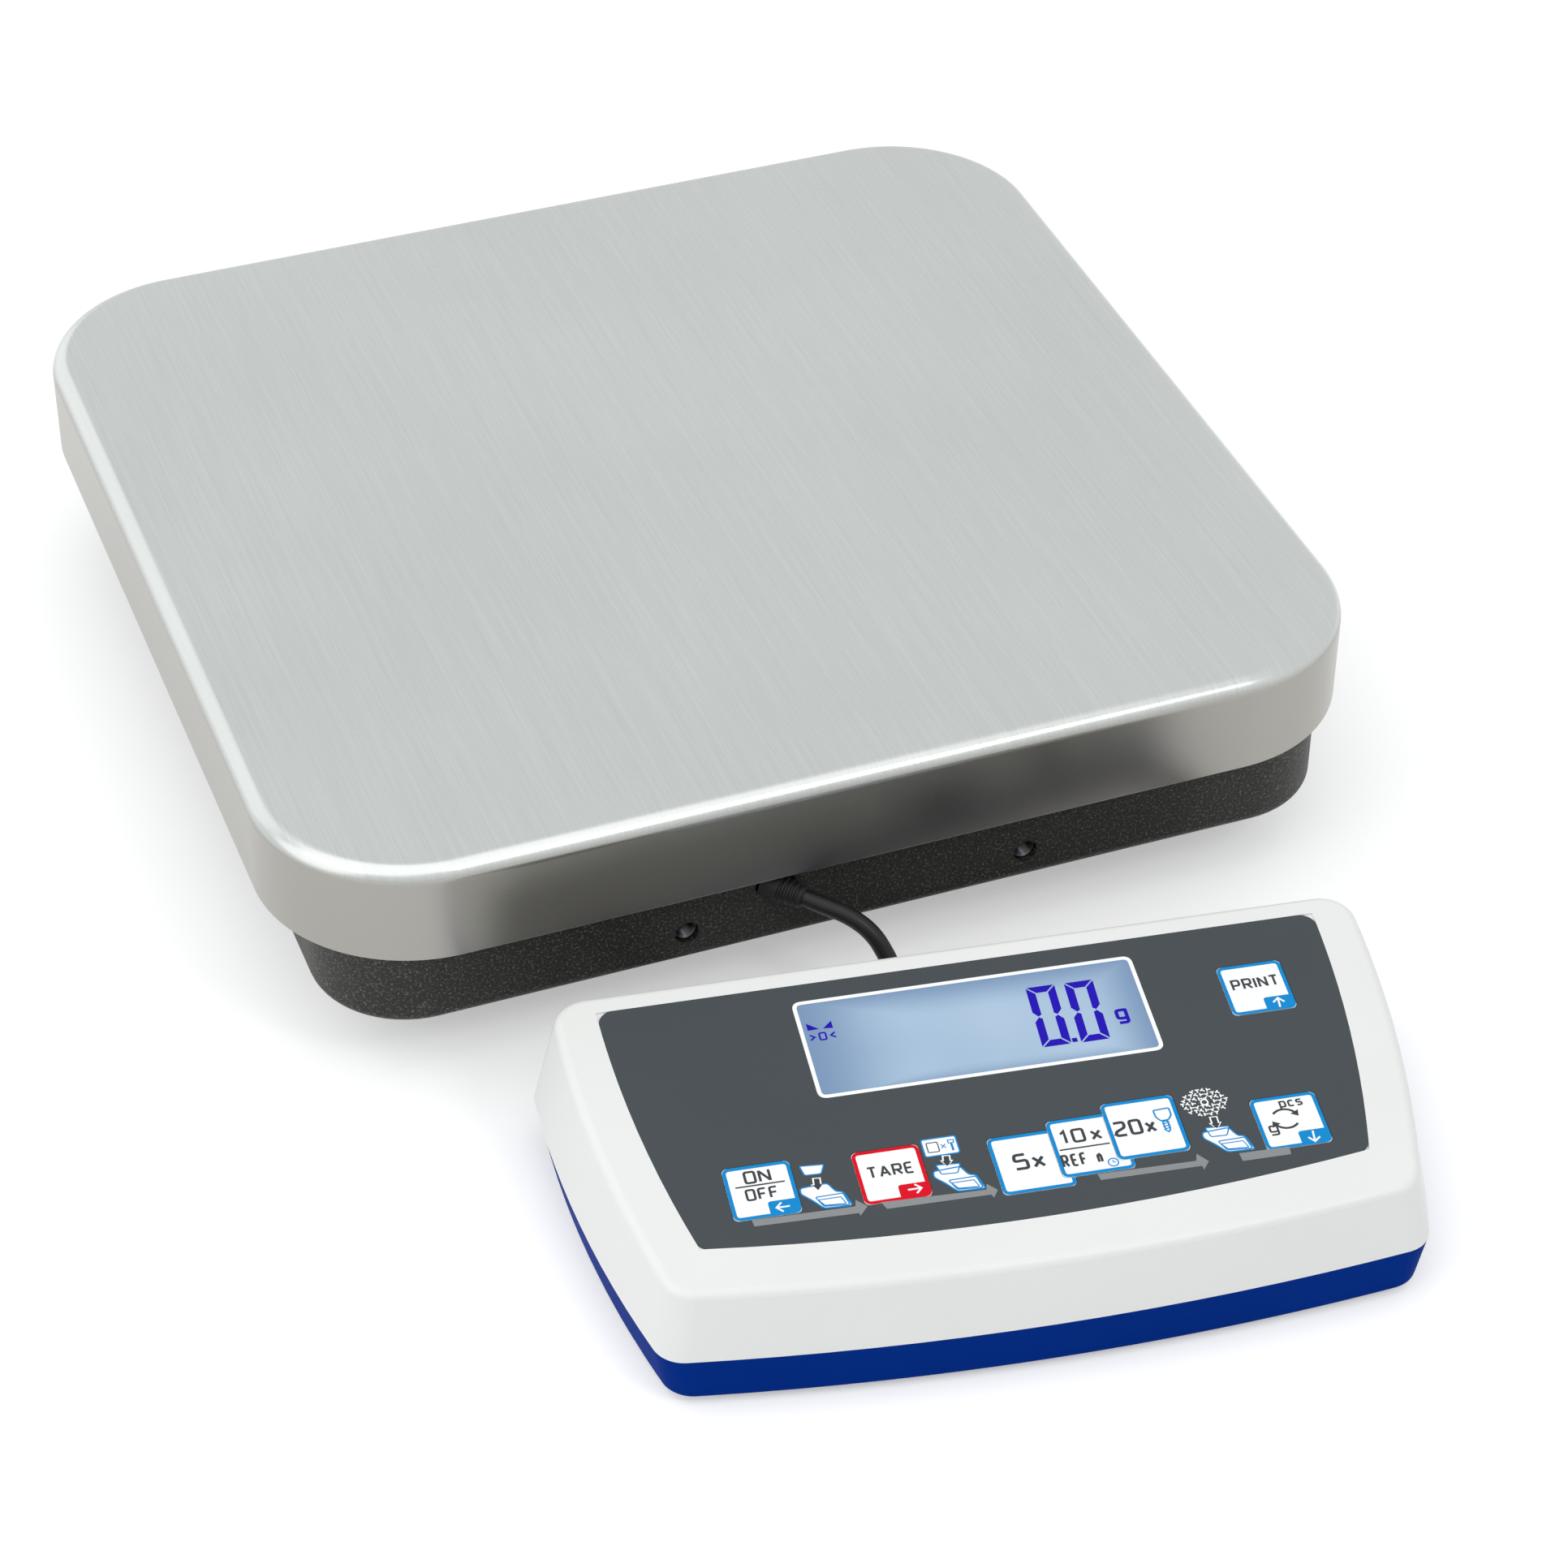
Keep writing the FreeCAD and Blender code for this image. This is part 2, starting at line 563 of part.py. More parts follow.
# Lower shell, with the board's posts, the screw bosses, the battery opening and the lead's hole
inner_floor = s.display_bottom + s.display_wall
battery_opening = (s.battery_length + s.battery_room, s.battery_width + s.battery_room / 2)
cover_recess = s.cover_gap * 2
lower = lower_form("lower_outside", 0, 0)
round_face(lower, down, s.display_under_edge)
slot(lower, s.battery_x, s.battery_y - s.cover_travel / 2, s.cover_length + cover_recess,
     s.cover_width + cover_recess + s.cover_travel, s.display_bottom, s.display_bottom + s.cover_thick + 0.1)
slot(lower, s.battery_x, s.battery_y, *battery_opening, s.display_bottom, inner_floor)
holes(lower, housing_screw_places, s.housing_screw + 0.1, s.display_bottom, s.display_seam)
head_seat = inner_floor + s.housing_head_height / 2
holes(lower, housing_screw_places, s.housing_head + 0.2, s.display_bottom, head_seat)
holes(lower, board_screw_places, s.small_screw, inner_floor + 3, s.display_seam)
drawing = sketch(lower, "XZ_Plane", -(s.display_back - s.wall_cut))
circle(drawing, s.relief_x, s.relief_height, s.relief_radius)
extrude(lower, "Pocket", drawing, s.wall_cut * 2)

lower_cavity = lower_form("lower_inside", s.display_wall, s.display_wall)
holes(lower_cavity, housing_screw_places, s.housing_boss, inner_floor, s.display_seam)
holes(lower_cavity, board_screw_places, s.small_post, inner_floor, s.display_seam)
for x in (s.battery_x - s.battery_length / 2 - 2, s.battery_x + s.battery_length / 2 + 8):
    slot(lower_cavity, x, s.battery_y, 2, s.battery_width, inner_floor, s.display_seam)
lower_shell = cut("lower", lower, lower_cavity)
board_posts = new_body("board_posts")
discs(board_posts, board_screw_places, s.small_post, s.display_seam, board_level)
holes(board_posts, board_screw_places, s.small_screw, s.display_seam, board_level)
as_node(joined("Fuse", "lower_with_posts", lower_shell, board_posts), "display_lower_shell", stand)

display_screws = new_body("display_screws")
discs(display_screws, housing_screw_places, s.housing_head, head_seat - s.housing_head_height, head_seat)
discs(display_screws, housing_screw_places, s.housing_screw, head_seat, s.display_seam + 8)
as_node(display_screws, "housing_screws", stand)

display_feet = new_body("display_feet")
discs(display_feet, [(-94, 20), (94, 20), (-84, -70), (84, -70)], s.display_foot_radius,
      0, s.display_bottom)
as_node(display_feet, "display_feet", stand)

# Keypad: a printed overlay in the panel's recess, seven keys through it, domes and board below
overlay = new_body("overlay")
drawing = sketch(overlay, "XY_Plane", -s.overlay_sheet)
overlay_outline(drawing)
extrude(overlay, "Pad", drawing, s.overlay_sheet)
round_uprights(overlay, 0.4, s.overlay_corner)
slot(overlay, s.lcd_x, s.lcd_y, s.lcd_width, s.lcd_height, -s.overlay_sheet, 0, s.lcd_corner)
for name, x, y, width in keys:
    slot(overlay, x, y, width + s.key_gap * 2, width + s.key_gap * 2, -s.overlay_sheet, 0, s.key_corner)
as_node(overlay, "keypad_overlay", panel)

window = new_body("window")
block(window, s.lcd_x, s.lcd_y, s.lcd_width, s.lcd_height, -s.overlay_sheet, 0, s.lcd_corner)
as_node(window, "lcd_window", panel)


def key_form(name, x, y, width):
    body = new_body(name)
    block(body, x, y, width, width, -s.key_height, 0, s.key_corner)
    return body


overlapped_by = {"key_reference_5": "key_reference_10", "key_reference_10": "key_reference_20"}
key_places = {name: (x, y, width) for name, x, y, width in keys}
for name, (x, y, width) in key_places.items():
    key = key_form(name + "_form", x, y, width)
    if name in overlapped_by:
        x, y, width = key_places[overlapped_by[name]]
        key = cut(name + "_cut", key, key_form(name + "_room", x, y, width + s.key_gap * 2))
    as_node(key, name, panel)

glass_top = -(s.display_wall + 0.1)
glass = new_body("glass")
block(glass, s.lcd_x, s.lcd_y, s.lcd_width + s.glass_margin * 2, s.lcd_height + s.glass_margin * 2,
      glass_top - s.glass_thick, glass_top)
as_node(glass, "lcd_glass", panel)
backlight = new_body("backlight")
block(backlight, s.lcd_x, s.lcd_y, s.lcd_width + s.glass_margin * 2, s.lcd_height + s.glass_margin * 2,
      glass_top - s.glass_thick - s.backlight_thick, glass_top - s.glass_thick)
as_node(backlight, "lcd_backlight", panel)

keypad_high = -s.keypad_board_depth
keypad_board = new_body("keypad_pcb")
block(keypad_board, 0, (s.keypad_board_top - s.keypad_board_low) / 2, s.keypad_board_half * 2,
      s.keypad_board_top + s.keypad_board_low, keypad_high - s.board_thick, keypad_high)
glass_room = s.glass_margin * 2 + s.socket_play * 2
slot(keypad_board, s.lcd_x, s.lcd_y, s.lcd_width + glass_room, s.lcd_height + glass_room,
     keypad_high - s.board_thick, keypad_high)
holes(keypad_board, keypad_screw_places, s.small_screw, keypad_high - s.board_thick, keypad_high)
as_node(keypad_board, "keypad_board", panel)

dome_places = [(x, y) for name, x, y, width in keys if name not in overlapped_by] + [(-2, -51), (16, -49)]
domes = new_body("domes")
discs(domes, dome_places, s.dome_radius, keypad_high, keypad_high + s.dome_height)
as_node(domes, "key_domes", panel)

# bosses between the panel and the keypad board, and their screws
pillars = new_body("pillars")
discs(pillars, keypad_screw_places, s.small_post, keypad_high, -s.display_wall)
holes(pillars, keypad_screw_places, s.small_screw, keypad_high, -s.display_wall)
as_node(pillars, "keypad_board_pillars", panel)
keypad_screws = new_body("keypad_screws")
discs(keypad_screws, keypad_screw_places, s.small_screw, keypad_high - s.board_thick, -s.display_wall)
discs(keypad_screws, keypad_screw_places, s.small_head, keypad_high - s.board_thick - s.small_head_height,
      keypad_high - s.board_thick)
as_node(keypad_screws, "keypad_board_screws", panel)

# Main board with its parts, sockets and battery
board_middle = ((s.board_left + s.board_right) / 2, (s.board_front + board_back) / 2)
board = new_body("main_pcb")
block(board, *board_middle, s.board_right - s.board_left, board_back - s.board_front, board_level,
      board_top)
holes(board, board_screw_places, s.small_screw, board_level, board_top)
as_node(board, "main_board", stand)

board_parts = new_body("board_parts")
for x, y, width, depth, height in ((10, -12, 14, 14, 1.6), (38, -14, 10, 7, 1.8), (60, -16, 8, 6, 1.8),
                                   (24, 6, 11, 4.5, 3.5)):
    block(board_parts, x, y, width, depth, board_top, board_top + height)
discs(board_parts, [(52, 4), (78, -2)], 4, board_top, board_top + 10)
as_node(board_parts, "main_board_parts", stand)

board_screws = new_body("board_screws")
discs(board_screws, board_screw_places, s.small_screw, inner_floor + 4, board_top)
discs(board_screws, board_screw_places, s.small_head, board_top, board_top + s.small_head_height)
as_node(board_screws, "main_board_screws", stand)

ribbon_y = -24
ribbon_top = (s.panel_height + ribbon_y * math.tan(math.radians(s.panel_slope))
              - (s.keypad_board_depth + s.board_thick) / math.cos(math.radians(s.panel_slope)) - 0.15)
ribbon = new_body("ribbon")
block(ribbon, 40, ribbon_y, 24, 1.2, board_top, ribbon_top)
as_node(ribbon, "ribbon_cable", stand)


# a pad between two distances back from the middle of the display unit
def pad_back(body, near, far, draw, *sizes_drawn):
    drawing = sketch(body, "XZ_Plane", -far)
    draw(drawing, *sizes_drawn)
    extrude(body, "Pad", drawing, far - near)


def back_opening(x, middle, width, height):
    drawing = sketch(upper, "XZ_Plane", -(s.display_back - s.wall_cut / 2))
    rectangle(drawing, x, middle, width + s.socket_play * 2, height + s.socket_play * 2)
    extrude(upper, "Pocket", drawing, s.wall_cut)


back_opening(s.socket_x, socket_middle, s.socket_width, s.socket_height)
back_opening(s.jack_x, jack_middle, s.jack_width, s.jack_height)
socket_face = s.display_back - s.socket_recess
socket_inside = socket_face - s.socket_depth

socket = new_body("socket")
pad_back(socket, socket_inside, socket_face, rectangle, s.socket_x, socket_middle, s.socket_width,
         s.socket_height)
pad_back(socket, socket_face, s.display_back + s.socket_reach, rectangle, s.socket_x, socket_middle,
         s.socket_width * 0.6, s.socket_height * 0.66, 1.5)
as_node(socket, "serial_socket", stand)

jack = new_body("jack")
pad_back(jack, socket_inside, socket_face, rectangle, s.jack_x, jack_middle, s.jack_width, s.jack_height)
bore = sketch(jack, "XZ_Plane", -(socket_face - s.jack_depth))
circle(bore, s.jack_x, jack_middle, s.jack_bore)
extrude(jack, "Pocket", bore, s.jack_depth)
pad_back(jack, socket_face - s.jack_depth, socket_face - 1, circle, s.jack_x, jack_middle, s.jack_pin)
as_node(jack, "power_jack", stand)

battery_low = s.display_bottom + s.cover_thick + 0.3
battery = new_body("battery")
block(battery, s.battery_x, s.battery_y, s.battery_length, s.battery_width - 0.5, battery_low,
      battery_low + s.battery_height, 2)
as_node(battery, "battery_block", stand)
snap = new_body("snap")
block(snap, s.battery_x + s.battery_length / 2 + 3.1, s.battery_y, 6, s.battery_width - 2, inner_floor + 0.5,
      battery_low + s.battery_height - 2)
as_node(snap, "battery_snap", stand)
cover = new_body("cover")
block(cover, s.battery_x, s.battery_y, s.cover_length, s.cover_width, s.display_bottom,
      s.display_bottom + s.cover_thick)
as_node(cover, "battery_cover", stand)

# Display lead: strain reliefs, tubes, and the hank that its spare length is tied into


def strain_relief(name, start, direction, radius, length, barrel):
    plug_start = start - direction * float(barrel)
    taper = rod("Cone", name + "_taper", start, direction, length, Radius1=radius, Radius2=s.relief_tip)
    plug = rod("Cylinder", name + "_plug", plug_start, direction, barrel, Radius=radius)
    return joined("Fuse", name, taper, plug)


exit_relief = strain_relief("exit_relief", lead_exit, lead_direction, s.exit_radius, s.exit_length,
                            s.exit_barrel)
as_node(exit_relief, "base_strain_relief")

backwards = Vector(0, 1, 0)
relief_start = Vector(s.relief_x, s.display_back - 1, s.relief_height)
relief = strain_relief("relief", relief_start, backwards, s.relief_radius, s.relief_length, s.relief_barrel)
as_node(relief, "display_strain_relief", stand)


# straight runs joined by tangent arcs, each arc as large as its two runs allow
def tube_path(name, points):
    edges = []
    start = points[0]
    for before, corner, after in zip(points, points[1:], points[2:]):
        into, out = corner - before, after - corner
        half_turn = into.getAngle(out) / 2
        setback = 0.45 * min(into.Length, out.Length)
        bend = setback / math.tan(half_turn)
        print(f"{name}: bend radius {bend:.1f} mm, turn {math.degrees(half_turn * 2):.0f} degrees")
        into.normalize()
        out.normalize()
        arc_start, arc_end = corner - into * setback, corner + out * setback
        middle = corner + (out - into).normalize() * (bend / math.cos(half_turn) - bend)
        edges.append(Part.LineSegment(start, arc_start).toShape())
        edges.append(Part.Arc(arc_start, middle, arc_end).toShape())
        start = arc_end
    edges.append(Part.LineSegment(start, points[-1]).toShape())
    return Part.Wire(edges)


def tube(name, points, radius, where=home):
    path = tube_path(name, points)
    profile = Part.Wire(Part.Circle(points[0], points[1] - points[0], float(radius)).toShape())
    thing = doc.addObject("Part::Feature", name + "_tube")
    thing.Shape = path.makePipeShell([profile], True, True)
    fill = thing.Shape.Volume / (math.pi * float(radius) ** 2 * path.Length)
    print(f"{name}: length {path.Length:.1f} mm, volume over section times length {fill:.4f}")
    as_node(thing, name, where)


lead_tip = lead_exit + lead_direction * float(s.exit_length)
tube("display_lead", [lead_tip, Vector(-6, -165, 33), Vector(-1, -173, 21.5), Vector(1.5, -184, 13),
                      Vector(13.5, -190.9, 8)], s.cable_radius)
relief_tip = relief_start + backwards * float(s.relief_length)
tube("display_lead_tail", [Vector(2, 63.5, 2.5), Vector(-22, 65, 2.5), Vector(-46, 69, 2.5),
                           Vector(-64, 67, 3.8), Vector(-74, 56, 8.8), relief_tip], s.cable_radius, stand)
tube("load_cell_lead", [lead_exit - lead_direction * float(s.exit_barrel), Vector(-50, -118, 44),
                        Vector(-70, -90, 46), Vector(-70, -50, 44), Vector(-66, -15.2, 42)],
     s.cable_radius * 0.8)

hank_height = s.cable_radius * 2 * s.hank_layers
hank_middle = s.hank_left + s.hank_run / 2


def hank_form(radius):
    width = s.hank_fold * 2 + radius * 2
    return hank_middle, s.hank_back, s.hank_run + width, width, 0, hank_height, s.hank_fold + radius - 0.01


hank = new_body("hank")
block(hank, *hank_form(s.cable_radius))
slot(hank, *hank_form(-s.cable_radius))
as_node(hank, "display_lead_hank", stand)

tie = new_body("tie")
for y in (s.hank_back - s.hank_fold, s.hank_back + s.hank_fold):
    block(tie, hank_middle, y, s.tie_width, (s.cable_radius + s.tie_thick) * 2, 0, hank_height + s.tie_thick)
as_node(tie, "cable_tie", stand)

doc.recompute()
faults = [thing.Name for thing in doc.Objects if "Invalid" in thing.State or "Error" in thing.State]
for node in nodes:
    if node.Shape.isNull() or not node.Shape.isValid() or not node.Shape.Solids:
        faults.append(node.Label)
if faults:
    raise RuntimeError("not built: " + ", ".join(faults))
os.makedirs("parts", exist_ok=True)
for node in nodes:
    node.Shape.exportStep(os.path.join("parts", node.Label + ".step"))
print(len(nodes), "sub-parts written")
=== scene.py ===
import bmesh
import bpy
import json
import math
from math import radians
from mathutils import Matrix, Vector


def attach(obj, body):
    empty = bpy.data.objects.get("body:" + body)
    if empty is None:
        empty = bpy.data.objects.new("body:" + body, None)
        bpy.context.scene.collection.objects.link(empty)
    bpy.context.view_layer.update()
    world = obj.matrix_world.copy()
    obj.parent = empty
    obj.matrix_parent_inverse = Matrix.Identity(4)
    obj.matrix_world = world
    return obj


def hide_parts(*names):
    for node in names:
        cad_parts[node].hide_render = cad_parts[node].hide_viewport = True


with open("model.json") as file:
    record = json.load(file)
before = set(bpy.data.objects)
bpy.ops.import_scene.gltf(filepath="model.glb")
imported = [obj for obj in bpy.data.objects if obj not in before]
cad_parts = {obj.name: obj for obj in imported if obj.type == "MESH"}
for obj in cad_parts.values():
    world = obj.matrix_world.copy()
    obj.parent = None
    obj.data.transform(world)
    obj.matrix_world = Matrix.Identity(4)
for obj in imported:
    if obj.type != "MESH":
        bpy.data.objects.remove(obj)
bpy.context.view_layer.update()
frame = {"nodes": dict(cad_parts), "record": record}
bpy.ops.object.select_all(action="DESELECT")


def at(x, y, z=0):
    return Matrix.Translation((x, y, z))


def tilted(degrees, axis):
    return Matrix.Rotation(radians(degrees), 4, axis)


# Pieces are modelled in millimetres about their own part of the scale, then brought into the frame in metres
places = {"home": 80.95, "display": (4.5, -224.4), "displayTurn": -8.5, "panelHeight": 42.5, "panelSlope": 5}
baseFrame = Matrix.Scale(0.001, 4) @ at(0, places["home"])
displayFrame = baseFrame @ at(*places["display"]) @ tilted(places["displayTurn"], "Z")
panelFrame = displayFrame @ at(0, 0, places["panelHeight"]) @ tilted(places["panelSlope"], "X")


def hexColour(text):
    channels = [int(text[i:i + 2], 16) / 255 for i in (1, 3, 5)]
    return (*[c / 12.92 if c <= 0.04045 else ((c + 0.055) / 1.055) ** 2.4 for c in channels], 1)


def grey(value):
    return (value, value, value, 1)


def perMetre(millimetres):  # pattern scale for one repeat in so many millimetres
    return 1000 / millimetres


def addNode(tree, kind, inputs=None, **settings):
    node = tree.nodes.new("ShaderNode" + kind)
    for name, value in settings.items():
        setattr(node, name, value)
    for name, value in (inputs or {}).items():
        if isinstance(value, bpy.types.NodeSocket):
            tree.links.new(value, node.inputs[name])
        else:
            node.inputs[name].default_value = value
    return node


def newFinish(name):
    material = bpy.data.materials.new(name)
    material.use_nodes = True
    material.node_tree.nodes.clear()
    return material, material.node_tree, addNode(material.node_tree, "TexCoord").outputs["Object"]


def closeFinish(material, kind, inputs):
    surface = addNode(material.node_tree, kind, inputs)
    addNode(material.node_tree, "OutputMaterial", {"Surface": surface.outputs[0]})
    return material


def rampBetween(tree, factor, low, high, start, end):
    ramp = addNode(tree, "ValToRGB", {"Fac": factor})
    ramp.color_ramp.elements[0].color, ramp.color_ramp.elements[1].color = low, high
    ramp.color_ramp.elements[0].position, ramp.color_ramp.elements[1].position = start, end
    return ramp.outputs["Color"]


def maths(tree, operation, first, second=0.0):
    return addNode(tree, "Math", {0: first, 1: second}, operation=operation).outputs["Value"]


def noise(tree, spot, scale, detail, roughness=0.5):
    inputs = {"Vector": spot, "Scale": scale, "Detail": detail, "Roughness": roughness}
    return addNode(tree, "TexNoise", inputs).outputs["Fac"]


def remap(tree, value, low, high, toLow=0.0, toHigh=1.0, **settings):
    inputs = {"Value": value, "From Min": low, "From Max": high, "To Min": toLow, "To Max": toHigh}
    return addNode(tree, "MapRange", inputs, **settings).outputs["Result"]


def between(tree, factor, first, second):
    return addNode(tree, "Mix", {"Factor": factor, "A": first, "B": second}).outputs["Result"]


def blend(tree, factor, first, second, **settings):
    inputs = {"Factor": factor, 6: first, 7: second}
    return addNode(tree, "Mix", inputs, data_type="RGBA", **settings).outputs[2]


def bumped(tree, strength, height, distance=0.0001):
    inputs = {"Strength": strength, "Distance": distance, "Height": height}
    return addNode(tree, "Bump", inputs).outputs["Normal"]


# Stainless sheet, brushed front to back before it was drawn: faint long lines that turn down over the edges,
# with the turned-down sides painted darker than the top as painted shade
def brushedStainless():
    material, tree, spot = newFinish("brushedStainless")
    lines = []
    for grains in ((0.7, 45, 45), (45, 45, 0.7)):  # the lines of the top, then of the turned-down sides
        drawn = addNode(tree, "Mapping", {"Vector": spot, "Scale": [perMetre(grain) for grain in grains]})
        lines.append(noise(tree, drawn.outputs["Vector"], 1, 4, 0.6))
    facing = addNode(tree, "SeparateXYZ", {"Vector": addNode(tree, "NewGeometry").outputs["Normal"]})
    onSide = remap(tree, maths(tree, "ABSOLUTE", facing.outputs["X"]), 0.6, 0.8)
    onTop = remap(tree, facing.outputs["Z"], 0.15, 0.6, interpolation_type="SMOOTHSTEP")
    grain = between(tree, onSide, *lines)
    tone = rampBetween(tree, grain, hexColour("#C2C6C4"), hexColour("#C8CCCA"), 0.3, 0.7)
    # painted shade: the turned-down sides take a darker, warmer base colour than the top, standing in for the
    # dark reflection seen in them
    tone = blend(tree, onTop, hexColour("#A19F99"), tone)
    cloud = rampBetween(tree, noise(tree, spot, perMetre(90), 2), grey(0.97), grey(1.0), 0.35, 0.65)
    return closeFinish(material, "BsdfPrincipled", {
        "Base Color": blend(tree, 1.0, tone, cloud, blend_type="MULTIPLY"), "Metallic": 1.0,
        "Roughness": between(tree, onTop, 0.27, remap(tree, grain, 0.3, 0.7, 0.24, 0.30)),
        "Normal": bumped(tree, remap(tree, onTop, 0, 1, 0.0015, 0.025), grain)})


# Stove-baked hammertone on cast metal: a fine pitted skin with paler flakes in near-black paint
def hammertone():
    material, tree, spot = newFinish("hammertonePaint")
    pits = addNode(tree, "TexVoronoi", {"Vector": spot, "Scale": perMetre(1.3), "Randomness": 1.0},
                   feature="SMOOTH_F1")
    grit = noise(tree, spot, perMetre(0.75), 3, 0.6)
    flakes = rampBetween(tree, grit, hexColour("#20201D"), hexColour("#7A7A6E"), 0.53, 0.76)
    drift = rampBetween(tree, noise(tree, spot, perMetre(14), 2), grey(0.8), grey(1.0), 0.3, 0.7)
    height = maths(tree, "ADD", pits.outputs["Distance"], grit)
    return closeFinish(material, "BsdfPrincipled", {
        "Base Color": blend(tree, 1.0, flakes, drift, blend_type="MULTIPLY"), "Roughness": 0.48,
        "Specular IOR Level": 0.3, "Normal": bumped(tree, 0.5, height, 0.0002)})


# Moulded, printed or plated surface: one colour that drifts a little, and a fine skin of the given grain
def skinned(name, colour, roughness, grain, depth, shift=0.94, metallic=0.0, sheen=0.3):
    material, tree, spot = newFinish(name)
    skin = noise(tree, spot, perMetre(grain), 3, 0.65)
    full = hexColour(colour)
    drift = noise(tree, spot, perMetre(45), 2)
    return closeFinish(material, "BsdfPrincipled", {
        "Base Color": rampBetween(tree, drift, (*[c * shift for c in full[:3]], 1), full, 0.35, 0.65),
        "Roughness": remap(tree, skin, 0.3, 0.7, roughness - 0.04, roughness + 0.04), "Metallic": metallic,
        "Specular IOR Level": 0.5 if metallic else sheen, "Normal": bumped(tree, depth, skin)})


# Lit liquid-crystal display under its clear film: pale blue, with painted shade darkening it towards its
# edges and its left end
def litDisplay():
    material, tree, spot = newFinish("litDisplay")
    middle = panelFrame @ Vector((-0.9, -0.7, 0))
    place = {"Vector": spot, "Location": middle, "Rotation": panelFrame.to_euler()}
    onPanel = addNode(tree, "Mapping", place, vector_type="TEXTURE")
    across = addNode(tree, "SeparateXYZ", {"Vector": onPanel.outputs["Vector"]})
    paintedShade = 0.0
    # painted shade: these fades darken the lit blue towards the edges and the left end
    for axis, start, end in (("X", 0.030, 0.047), ("X", -0.014, -0.047), ("Y", 0.006, 0.018),
                             ("Y", -0.012, -0.019)):
        edgeShade = remap(tree, across.outputs[axis], start, end, interpolation_type="SMOOTHSTEP")
        paintedShade = maths(tree, "MAXIMUM", paintedShade, edgeShade)
    cloud = noise(tree, spot, perMetre(30), 1)
    lit = rampBetween(tree, cloud, hexColour("#A4BDD6"), hexColour("#AFC7DE"), 0.3, 0.7)
    colour = blend(tree, paintedShade, lit, hexColour("#7793B6"))
    return closeFinish(material, "BsdfPrincipled", {
        "Base Color": colour, "Roughness": 0.3, "Specular IOR Level": 0.3, "Emission Color": colour,
        "Emission Strength": 0.03})


# Clear acrylic or a liquid: see-through, with a barely wavy skin
def clearSheet(name, colour, roughness, ior):
    material, tree, spot = newFinish(name)
    ripple = noise(tree, spot, perMetre(8), 1)
    return closeFinish(material, "BsdfPrincipled", {
        "Base Color": hexColour(colour), "Roughness": roughness, "IOR": ior, "Transmission Weight": 1.0,
        "Normal": bumped(tree, 0.02, ripple)})


finishes = {
    "stainless": brushedStainless(),
    "hammertone": hammertone(),
    # acrylonitrile butadiene styrene with a fine spark-eroded skin: satin above, dull below
    "whiteShell": skinned("whiteAbs", "#EDEEEC", 0.34, 0.4, 0.08, 0.985, sheen=0.4),
    "blueShell": skinned("blueAbs", "#02308A", 0.5, 0.4, 0.12, 0.93, sheen=0.01),
    # screen-printed polyester film: flat inks with a matt varnish
    "overlay": skinned("printedPolyester", "#474D51", 0.52, 0.3, 0.05, 0.97, sheen=0.15),
    "keyWhite": skinned("keyWhiteInk", "#FFFFFF", 0.5, 0.5, 0.03, 0.99, sheen=0.15),
    "digit": skinned("displaySegment", "#1E00B4", 0.45, 0.5, 0.0, 0.98, sheen=0.15),
    # moulded rubber and cable jackets: dark, dull, slightly dusty
    "blackRubber": skinned("blackRubber", "#1B1B1D", 0.58, 0.4, 0.10, 0.88),
    "leadJacket": skinned("polyurethaneJacket", "#1F1F21", 0.38, 0.5, 0.05, 0.9),
    "innerLead": skinned("greyJacket", "#8D8F92", 0.5, 0.4, 0.05),
    "blackPlastic": skinned("blackNylon", "#1C1C1E", 0.5, 0.35, 0.12, 0.9),
    # bare and plated metals: milled, zinc-bright, blackened or gold-flashed
    "aluminium": skinned("millFinishAluminium", "#C9CBCD", 0.34, 0.25, 0.10, 0.93, 1.0),
    "zinc": skinned("brightZincPlate", "#B7BABD", 0.30, 0.3, 0.06, 0.9, 1.0),
    "darkSteel": skinned("blackenedSteel", "#4A4B4E", 0.36, 0.3, 0.08, 0.85, 1.0),
    "gold": skinned("goldFlash", "#D9B25A", 0.25, 0.3, 0.03, 0.95, 1.0),
    "vial": clearSheet("vialAcrylic", "#B9DA5A", 0.03, 1.45),
    "air": clearSheet("airBubble", "#FFFFFF", 0.0, 1.02),
    "litDisplay": litDisplay(),
    "opal": skinned("opalDiffuser", "#E9EDF2", 0.45, 0.5, 0.02),
    "board": skinned("solderMask", "#1F6B3A", 0.32, 0.9, 0.06, 0.85),
    "chip": skinned("epoxyPackage", "#222326", 0.45, 0.3, 0.10, 0.9),
    "ribbon": skinned("ribbonPvc", "#9B9DA0", 0.45, 0.6, 0.05),
    "sleeve": skinned("batterySleeve", "#26303B", 0.3, 0.6, 0.02),
}
for ink, colour in {"Blue": "#088CD2", "Red": "#DF0020", "Grey": "#8F9193", "Dark": "#3E4245"}.items():
    finishes["ink" + ink] = skinned(ink.lower() + "Ink", colour, 0.5, 0.5, 0.02, 0.98, sheen=0.15)
print("finishes ready")

